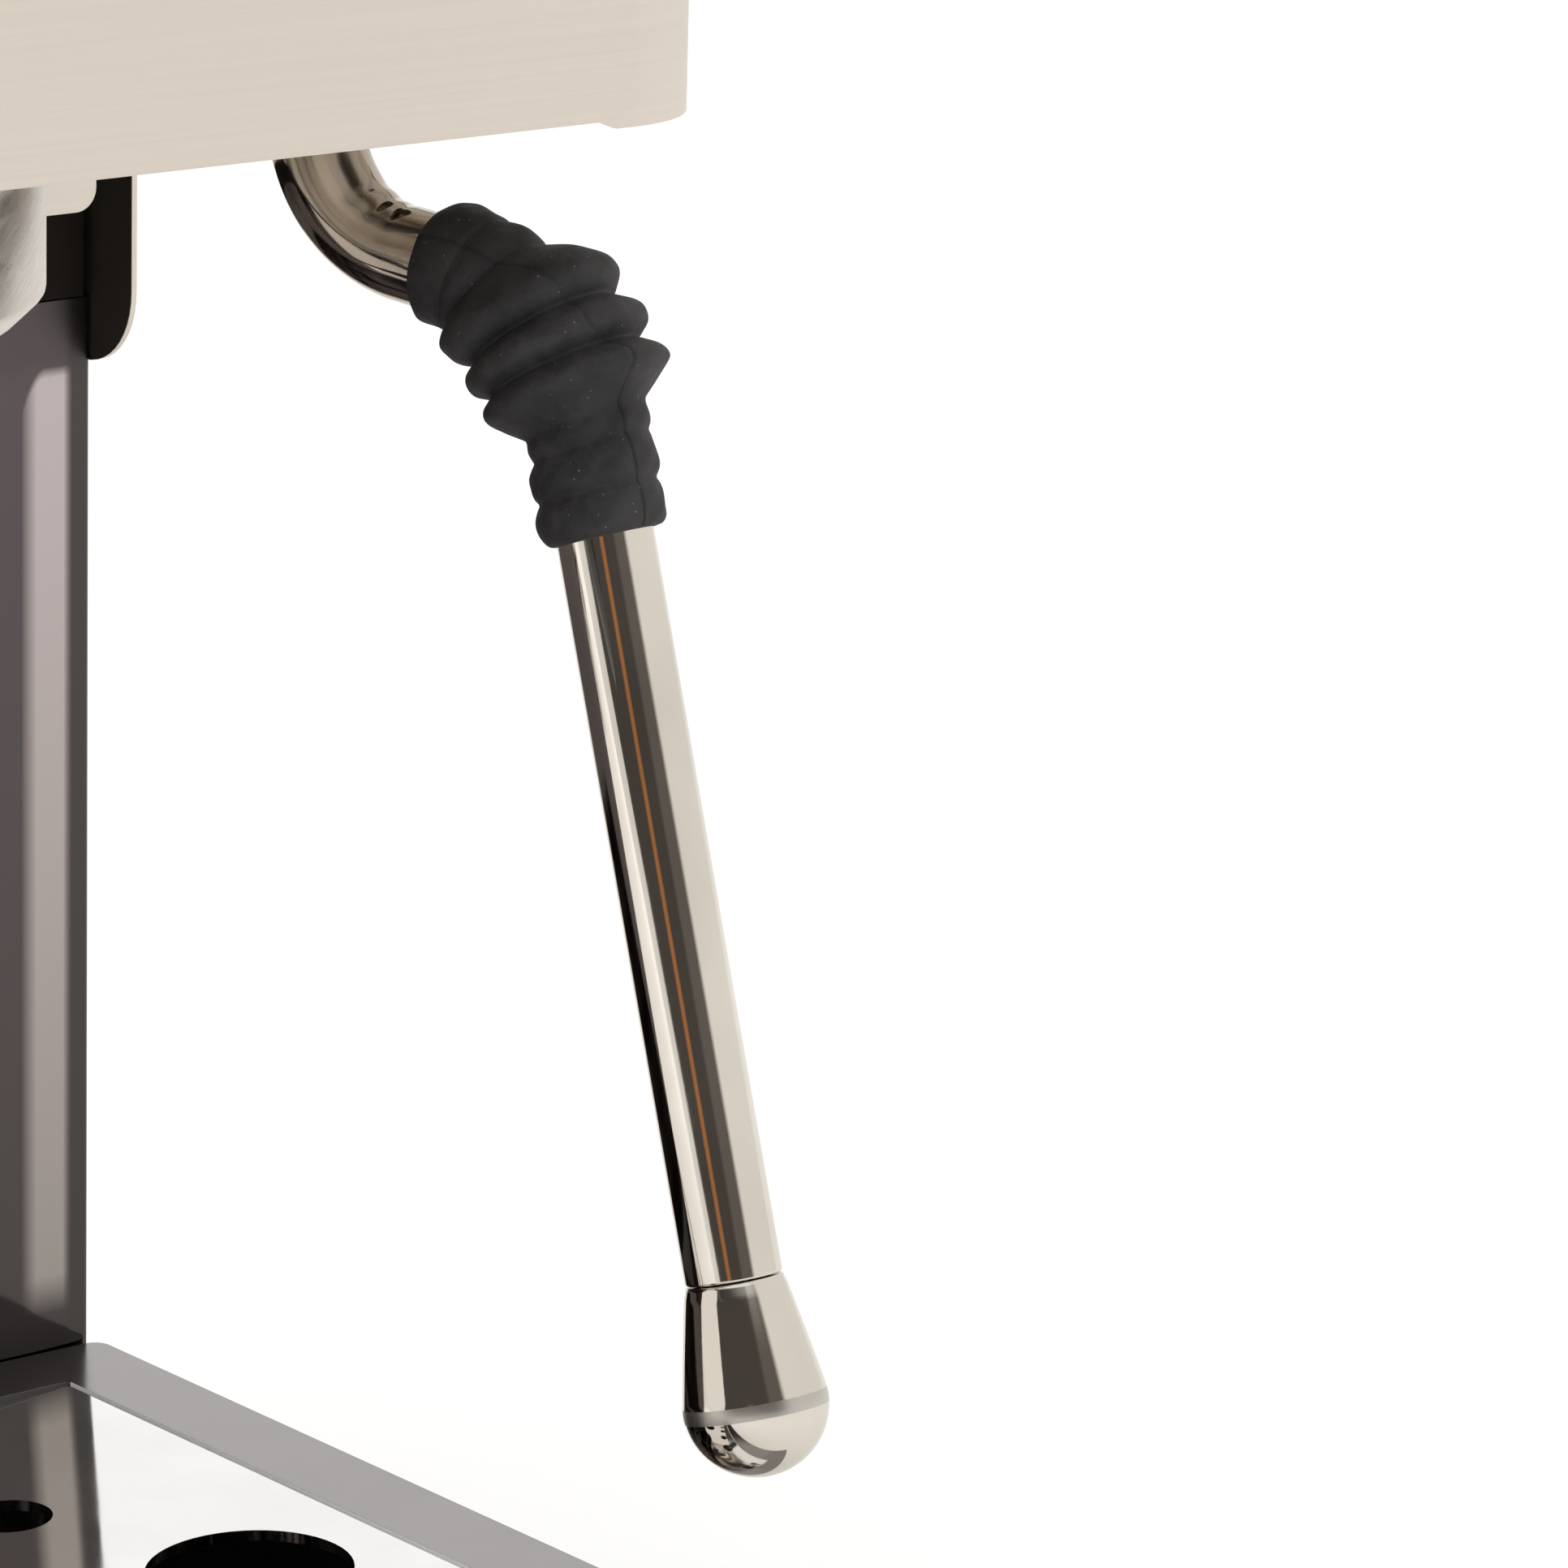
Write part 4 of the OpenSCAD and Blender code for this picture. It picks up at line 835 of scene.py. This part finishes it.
# ---------------------------------------------------------------- group collar
# An outline of (radius, z): a thin ring whose lower outer edge is slanted, with soft corners.
COLLAR_WALL, COLLAR_SLANT, COLLAR_SOFT = 3.7, 2.8, 0.45
(collar_left, _, foot), (collar_right, _, head) = COLLAR_BOX
outer_r = (collar_right - collar_left) / 2
inner_r, slant_r = outer_r - COLLAR_WALL, outer_r - COLLAR_SLANT
collar_outline = [(inner_r, foot + 0.1), (inner_r + 0.1, foot),
                  (slant_r - COLLAR_SOFT, foot), (slant_r - 0.12, foot + 0.07),
                  (slant_r + 0.22, foot + 0.3), (outer_r - 0.3, foot + COLLAR_SLANT - 0.28),
                  (outer_r - 0.07, foot + COLLAR_SLANT + 0.06),
                  (outer_r, foot + COLLAR_SLANT + COLLAR_SOFT), (outer_r, head), (inner_r, head)]
collar_at = (middle_of(COLLAR_BOX, 0), middle_of(COLLAR_BOX, 1))
piece("collar_turned", lathe("collar_turned", collar_at, collar_outline), COLLAR, "machine",
      ["group_collar"])


# ---------------------------------------------------------------- drip plate
# The CAD plate with its outer edges moved out a little, so that it nearly fills the tray's mouth.
EDGE_GROW, ON_EDGE = 0.11 * MM, 0.02 * MM
plate_mesh = NODES["drip_plate"].data.copy()
plate_mesh.name = "mirror_plate"
plate_mesh.materials.clear()
for axis in (0, 1):
    plate_mid = middle_of(PLATE_BOX, axis) * MM
    plate_half = (PLATE_BOX[1][axis] - PLATE_BOX[0][axis]) / 2 * MM
    for vertex in plate_mesh.vertices:
        offset = vertex.co[axis] - plate_mid
        if abs(abs(offset) - plate_half) < ON_EDGE:
            vertex.co[axis] += math.copysign(EDGE_GROW, offset)
piece("mirror_plate", plate_mesh, PLATE, "drip_plate", ["drip_plate"])


# ---------------------------------------------------------------- column
# Its front is flat as far as FLAT_HALF from the middle. Then it leans back by the degrees in
# EDGE_LEAN, rows of (distance from the middle, lean), and folds round to the side.
SHEET_THICK, FOLD_R, FOLD_STEP = 1.0, 1.02, 0.11
FLAT_HALF, LEAN_STEP = 88.4, 0.2
EDGE_LEAN = ((0.0, 0.0), (88.6, 0.0), (90.6, 1.6), (94.6, 2.0), (95.4, 3.6), (97.2, 4.0))


def bent_sheet(inset):
    """Half of the column's outline, from the middle to the back edge, inset by some mm."""
    edge, front, back = COLUMN_BOX[1][0], COLUMN_BOX[0][1], COLUMN_BOX[1][1]
    line = [(0.0, inset)]
    x, y = FLAT_HALF, 0.0
    while x < edge - FOLD_R - 0.05:
        lean = math.radians(eased(EDGE_LEAN, x)[0] if x > EDGE_LEAN[1][0] else 0.0)
        line.append((x - inset * math.sin(lean), y + inset * math.cos(lean)))
        x, y = x + LEAN_STEP, y + LEAN_STEP * math.tan(lean)
    first = math.radians(EDGE_LEAN[-1][1])
    for a in steps(first, math.pi / 2, FOLD_STEP):
        line.append((edge - FOLD_R + (FOLD_R - inset) * math.sin(a),
                     y + FOLD_R * math.cos(first) - (FOLD_R - inset) * math.cos(a)))
    line.append((edge - inset, back - front))
    return [(px, front + py) for px, py in line]


def mirrored(points):
    """The same points on the other side of the middle."""
    return [(-x, y) for x, y in points]


outer, inner = bent_sheet(0.0), bent_sheet(SHEET_THICK)
column_outline = mirrored(outer[::-1]) + outer[1:] + inner[::-1] + mirrored(inner[1:])
piece("column_sheet", upright("column_sheet", column_outline, COLUMN_BOX[0][2],
                              COLUMN_BOX[1][2]),
      COLUMN, "machine", ["column_panel"])


# ---------------------------------------------------------------- studio
def floor_material(name):
    """Pale and matte, and a little darker in reflections than to the camera."""
    material, g = graph(name)
    cloud = g.noise(g.place((0.004, 0.004, 0.004)), 1.0, 2.0)
    pale = g.mix(cloud, (0.90, 0.90, 0.89), (0.93, 0.93, 0.92))
    reflected = g.node("ShaderNodeLightPath").outputs["Is Glossy Ray"]
    g.surface(Base_Color=g.mix(reflected, pale, (0.76, 0.735, 0.71)), Roughness=0.9)
    return material


def studio_floor(half_width):
    mesh = bpy.data.meshes.new("studio_floor")
    mesh.from_pydata([(half_width * x, half_width * y, 0)
                      for x, y in ((-1, -1), (1, -1), (1, 1), (-1, 1))], [], [(0, 1, 2, 3)])
    mesh.materials.append(floor_material("studio_floor"))
    obj = bpy.data.objects.new("studio_floor", mesh)
    bpy.context.scene.collection.objects.link(obj)


def studio_world():
    """A plain pale background. Reflections see bands of other colours in it, which stand for
    the walls and furniture of a room; headings are in degrees from +X."""
    world = bpy.data.worlds.new("studio")
    bpy.context.scene.world = world
    world.use_nodes = True
    g = Graph(world.node_tree)
    x, y, height = g.axes(g.node("ShaderNodeTexCoord").outputs["Generated"])
    turn = g.math("ARCTAN2", y, x)

    def band(low, high, soft):
        """1 where the heading lies between low and high."""
        a, b, edge = math.radians(low), math.radians(high), math.radians(soft)
        return g.times(g.ramp(turn, a - edge, a + edge),
                       g.ramp(turn, b - edge, b + edge, 1.0, 0.0))

    low_down = g.ramp(height, 0.52, 0.75, 1.0, 0.0)
    lower = g.ramp(height, 0.24, 0.36, 1.0, 0.0)
    sky = g.mix(band(-90, 40, 5), (1.02, 1.015, 1.005), (0.86, 0.83, 0.785))
    sky = g.mix(band(133, 190, 2), sky, (0.92, 0.875, 0.83))
    sky = g.mix(band(66, 133, 2), sky, (0.050, 0.045, 0.046))
    sky = g.mix(g.times(band(-190, -80, 4), low_down), sky, (0.135, 0.120, 0.108))
    sky = g.mix(g.times(band(-190, -108, 3), low_down), sky, (0.072, 0.062, 0.058))
    sky = g.mix(g.times(band(-142, -134, 1.6), lower), sky, (0.40, 0.165, 0.060))
    reflected = g.node("ShaderNodeLightPath").outputs["Is Glossy Ray"]
    shown = g.mix(reflected, (1.12, 1.12, 1.12), sky)
    background = g.node("ShaderNodeBackground", {"Color": shown, "Strength": 1.0})
    g.node("ShaderNodeOutputWorld", {"Surface": background.outputs[0]})


def softbox(name, place, target, width, height, power, color=(1, 1, 1)):
    """A rectangular light aimed at target, unseen by the camera and in reflections."""
    light = bpy.data.lights.new(name, "AREA")
    light.shape, light.size, light.size_y = "RECTANGLE", width, height
    light.energy, light.color = power, color
    obj = bpy.data.objects.new(name, light)
    bpy.context.scene.collection.objects.link(obj)
    obj.location = place
    obj.rotation_euler = (Vector(target) - Vector(place)).to_track_quat("-Z", "Y").to_euler()
    obj.visible_camera = False
    obj.visible_glossy = False


def studio_camera(place, yaw, pitch, roll, lens):
    """A camera at place: yaw turns it from +Y towards +X, pitch looks down, roll turns it
    about its own view, all in degrees."""
    yaw, pitch, roll = (math.radians(a) for a in (yaw, pitch, roll))
    forward = Vector((math.sin(yaw) * math.cos(pitch), math.cos(yaw) * math.cos(pitch),
                      -math.sin(pitch)))
    level = Vector((math.cos(yaw), -math.sin(yaw), 0))
    below = forward.cross(level)
    right = math.cos(roll) * level + math.sin(roll) * below
    under = -math.sin(roll) * level + math.cos(roll) * below
    camera = bpy.data.objects.new("camera", bpy.data.cameras.new("camera"))
    bpy.context.scene.collection.objects.link(camera)
    camera.data.sensor_width = 36
    camera.data.lens = lens
    camera.data.clip_start, camera.data.clip_end = 0.05, 60
    camera.matrix_world = Matrix.Translation(place) @ Matrix(
        (right, -under, -forward)).transposed().to_4x4()
    bpy.context.scene.camera = camera


studio_floor(14)
studio_world()
middle = (0.0, 0.0, 0.2)
softbox("key_left", (-1.5, 0.15, 0.75), middle, 0.9, 1.5, 6)
softbox("overhead", (0.2, -0.3, 2.2), middle, 2.2, 2.2, 8)
softbox("fill_right", (2.0, -0.9, 1.0), middle, 1.4, 1.4, 4, (1.0, 0.97, 0.92))
front_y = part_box("housing_shell")[0][1]
studio_camera((-0.393, front_y - 0.596, 0.3524), yaw=39.96, pitch=14.51, roll=-1.43,
              lens=179.96)
bpy.context.scene.view_settings.view_transform = "Standard"
